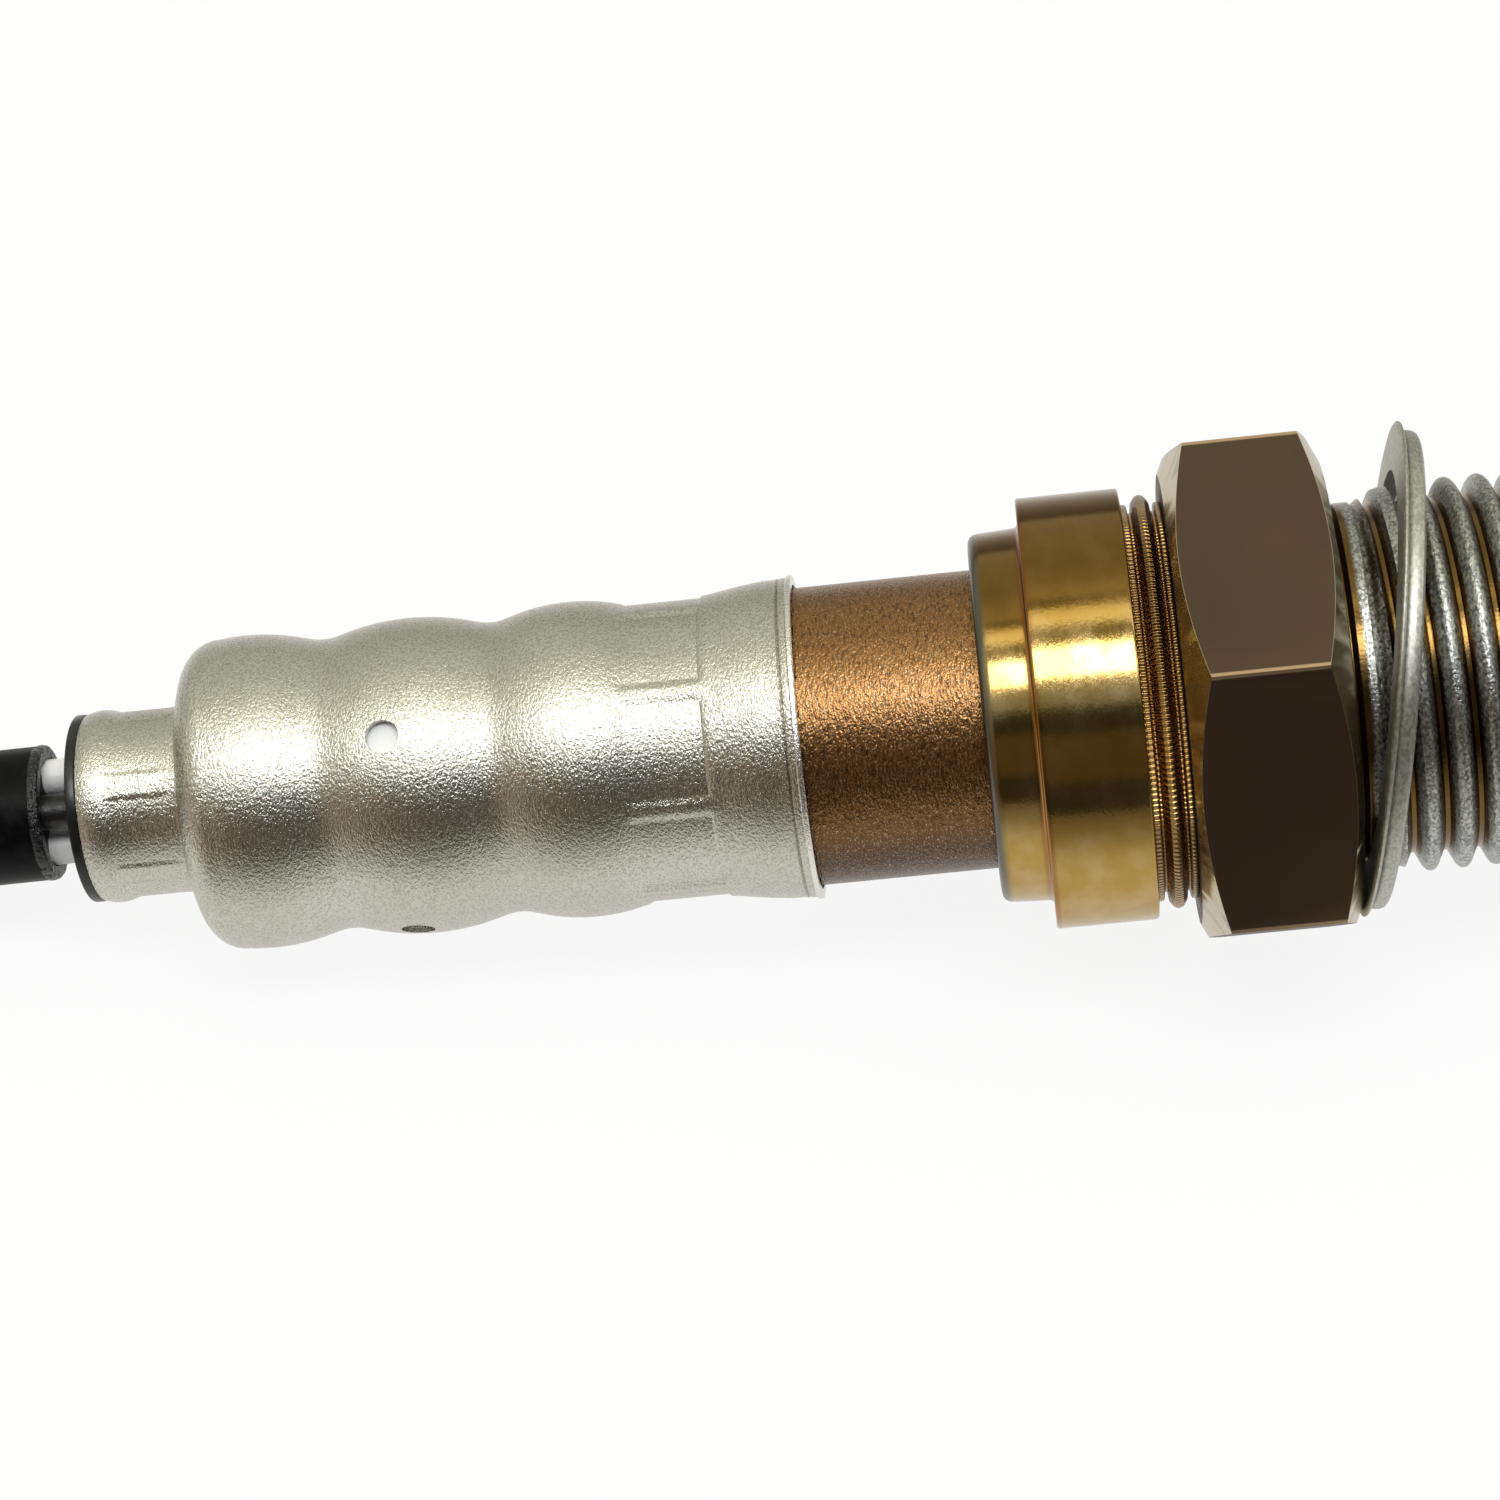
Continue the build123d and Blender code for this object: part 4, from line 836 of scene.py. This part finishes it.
# --------------------------------------------------------------------------------- tip
tip_line = [(12.5, 5.5), (26.7, 5.5), (26.7, 0.9), (27.2, 0.9), (27.2, 6.0), (13.0, 6.0),
            (13.0, 7.05), (12.5, 7.05)]
tip = turned("tip_tube", eased(tip_line, 0.08, {1: 0.5, 4: 0.9}, 5), 128)
holes = [(13.2 + row, 60.0 * i) for row in (4.0, 9.5) for i in range(6)]
drilled(tip, holes, 2.2, 8.0)
set_on_sensor(tip)
finished(tip, tip_steel, ["outer_protection_tube"])


# --------------------------------------------------------------------------------- grommet
grommet_line = [(-58.4, 0), (-58.4, 4.4), (-57.92, 4.4), (-57.92, 3.73), (-52.5, 3.73),
                (-52.45, 4.9), (-49.7, 4.9), (-49.7, 0)]
grommet = turned("grommet_rubber", eased(grommet_line, 0.12), 96)
wire_angles = [radians(WIRE_ANGLE + 90 * i) for i in range(4)]
wire_spots = [(WIRE_CIRCLE_RADIUS * cos(a), WIRE_CIRCLE_RADIUS * sin(a)) for a in wire_angles]
cutters = []
for y, z in wire_spots:
    put_down()
    bpy.ops.mesh.primitive_cylinder_add(vertices=32, radius=0.865 * MM, depth=12 * MM,
                                        location=(-54 * MM, y * MM, z * MM), rotation=(0, pi / 2, 0))
    cutters.append(bpy.context.object)
cut_away(grommet, cutters)
set_on_sensor(grommet)
finished(grommet, grommet_rubber, ["grommet"])


# ----------------------------------------------------------------- pieces that keep their solids
kept = {
    "inner_protection_tube": tip_steel, "sensing_element": guide_ceramic,
    "front_ceramic_guide": guide_ceramic, "rear_ceramic_guide": guide_ceramic,
    "talc_packing": talc_powder, "crimp_washer": plain_steel,
    "vent_membrane": membrane_white, "contact_holder": guide_ceramic, "holder_spring": plain_steel,
    "terminal_insulator": guide_ceramic, "heater_contact_1": contact_metal, "heater_contact_2": contact_metal,
    "signal_contact": contact_metal, "ground_contact": contact_metal, "white_wire_1": white_insulation,
    "white_wire_2": white_insulation, "black_wire": black_insulation, "grey_wire": grey_insulation,
    "wire_seal": seal_rubber, "face_seal": seal_rubber, "terminal_lock": lock_plastic,
    "connector_terminal_1": terminal_metal, "connector_terminal_2": terminal_metal,
    "connector_terminal_3": terminal_metal, "connector_terminal_4": terminal_metal,
}
for name, material in kept.items():
    node = frame["nodes"][name]
    node.data.materials.clear()
    node.data.materials.append(material)


# --------------------------------------------------------------------------------- studio
put_down()
floor_drop = 0.02 * MM
bpy.ops.mesh.primitive_plane_add(size=6.0, location=(0, 0, -floor_drop))
floor = bpy.context.object
floor.name = "floor"
floor_white = Finish("floor white", Roughness=0.9)
floor_white.colour((0.85, 0.85, 0.85, 1.0))
_, floor_y, _ = floor_white.parts(floor_white.node("ShaderNodeTexCoord", out="Object"))
# The floor glows: plain white to the camera, and to glossy and transmission rays a painted pool of light,
# bright near the sensor and darker further out.
painted_reflection_reach = 0.2
painted_reflection_pool = floor_white.node(
    "ShaderNodeValToRGB",
    {"stops": [(0.0, (0.86, 0.85, 0.83)), (0.11, (0.86, 0.85, 0.83)), (0.18, (0.66, 0.64, 0.60)),
               (0.24, (0.44, 0.42, 0.37)), (0.40, (0.26, 0.24, 0.19)), (1.0, (0.16, 0.14, 0.11))]},
    floor_y.maths("ABSOLUTE") / painted_reflection_reach)
rays = floor_white.node("ShaderNodeLightPath", out="Is Camera Ray")
seen = [Reading(floor_white, rays.socket.node.outputs[name])
        for name in ("Is Camera Ray", "Is Glossy Ray", "Is Transmission Ray")]
glow = floor_white.node("ShaderNodeEmission", None, floor_white.mix(seen[0], painted_reflection_pool, (1, 1, 1, 1)), 1.0)
lit = Reading(floor_white, floor_white.shader.outputs[0])
glowing = (seen[0] + seen[1] + seen[2]).clipped() * 0.9
floor_light = floor_white.node("ShaderNodeMixShader", None, glowing, lit, glow)
floor_white.feed(floor_white.tree.nodes["Material Output"].inputs["Surface"], floor_light)
floor.data.materials.append(floor_white.material)

world = bpy.data.worlds.new("studio")
bpy.context.scene.world = world
world.use_nodes = True
sky = Wiring(world.node_tree)
to_side, to_back, to_top = sky.parts(sky.node("ShaderNodeTexCoord", out="Generated"))
bearing = to_top.maths("ARCTAN2", to_back * -1) / pi
# The light from each bearing round the X axis, in degrees up from the front, met head on and from an end
round_the_middle = [
    (0, (0.045, 0.042, 0.038)), (16, (0.05, 0.047, 0.043)), (20, (0.115, 0.09, 0.062)),
    (42, (0.12, 0.096, 0.066)), (46, (0.04, 0.04, 0.036)), (56, (0.05, 0.05, 0.05)),
    (60, (0.34, 0.37, 0.42)), (74, (0.48, 0.52, 0.59)), (77, (1.0, 1.0, 1.05)), (90, (1.1, 1.08, 1.0)),
    (93, (0.20, 0.195, 0.16)), (100, (0.26, 0.25, 0.20)), (104, (2.3, 2.25, 1.8)),
    (111, (2.3, 2.25, 1.8)), (114, (0.26, 0.25, 0.20)), (116.5, (0.26, 0.25, 0.20)),
    (119, (1.0, 0.98, 0.80)), (128, (0.75, 0.74, 0.60)), (140, (0.58, 0.575, 0.47)),
    (165, (0.61, 0.60, 0.51)), (180, (0.66, 0.65, 0.58)),
]
round_the_side = [
    (0, (0.36, 0.25, 0.18)), (34, (0.37, 0.25, 0.17)), (46, (0.35, 0.30, 0.21)),
    (60, (0.36, 0.34, 0.25)), (70, (0.60, 0.56, 0.42)), (84, (0.88, 0.85, 0.66)),
    (102, (0.84, 0.81, 0.64)), (115, (0.52, 0.51, 0.40)), (155, (0.60, 0.59, 0.49)),
    (180, (0.70, 0.69, 0.60)),
]
middle_light, side_light = [
    sky.node("ShaderNodeValToRGB", {"stops": [(angle / 180, colour) for angle, colour in stops]}, bearing)
    for stops in (round_the_middle, round_the_side)
]
around = sky.mix(to_side.between(-0.60, -0.48), side_light, middle_light)
background = sky.node("ShaderNodeBackground", None, around, 1.0)
white = sky.node("ShaderNodeBackground", None, (1, 1, 1, 1), 1.0)
camera_ray = sky.node("ShaderNodeLightPath", out="Is Camera Ray")
sky_light = sky.node("ShaderNodeMixShader", None, camera_ray, background, white)
sky.feed(sky.tree.nodes["World Output"].inputs["Surface"], sky_light)

lamp_angle = radians(82)
lamp_distance = 0.55
lamp_place = (0, -cos(lamp_angle) * lamp_distance, sin(lamp_angle) * lamp_distance)
bpy.ops.object.light_add(type="AREA", location=lamp_place)
lamp = bpy.context.object
lamp.name = "softbox"
lamp.rotation_euler = (pi / 2 - lamp_angle, 0, 0)
lamp.data.shape = "RECTANGLE"
lamp.data.size = 0.42
lamp.data.size_y = 0.15
lamp.data.energy = 1.64

bpy.context.scene.view_settings.view_transform = "Standard"
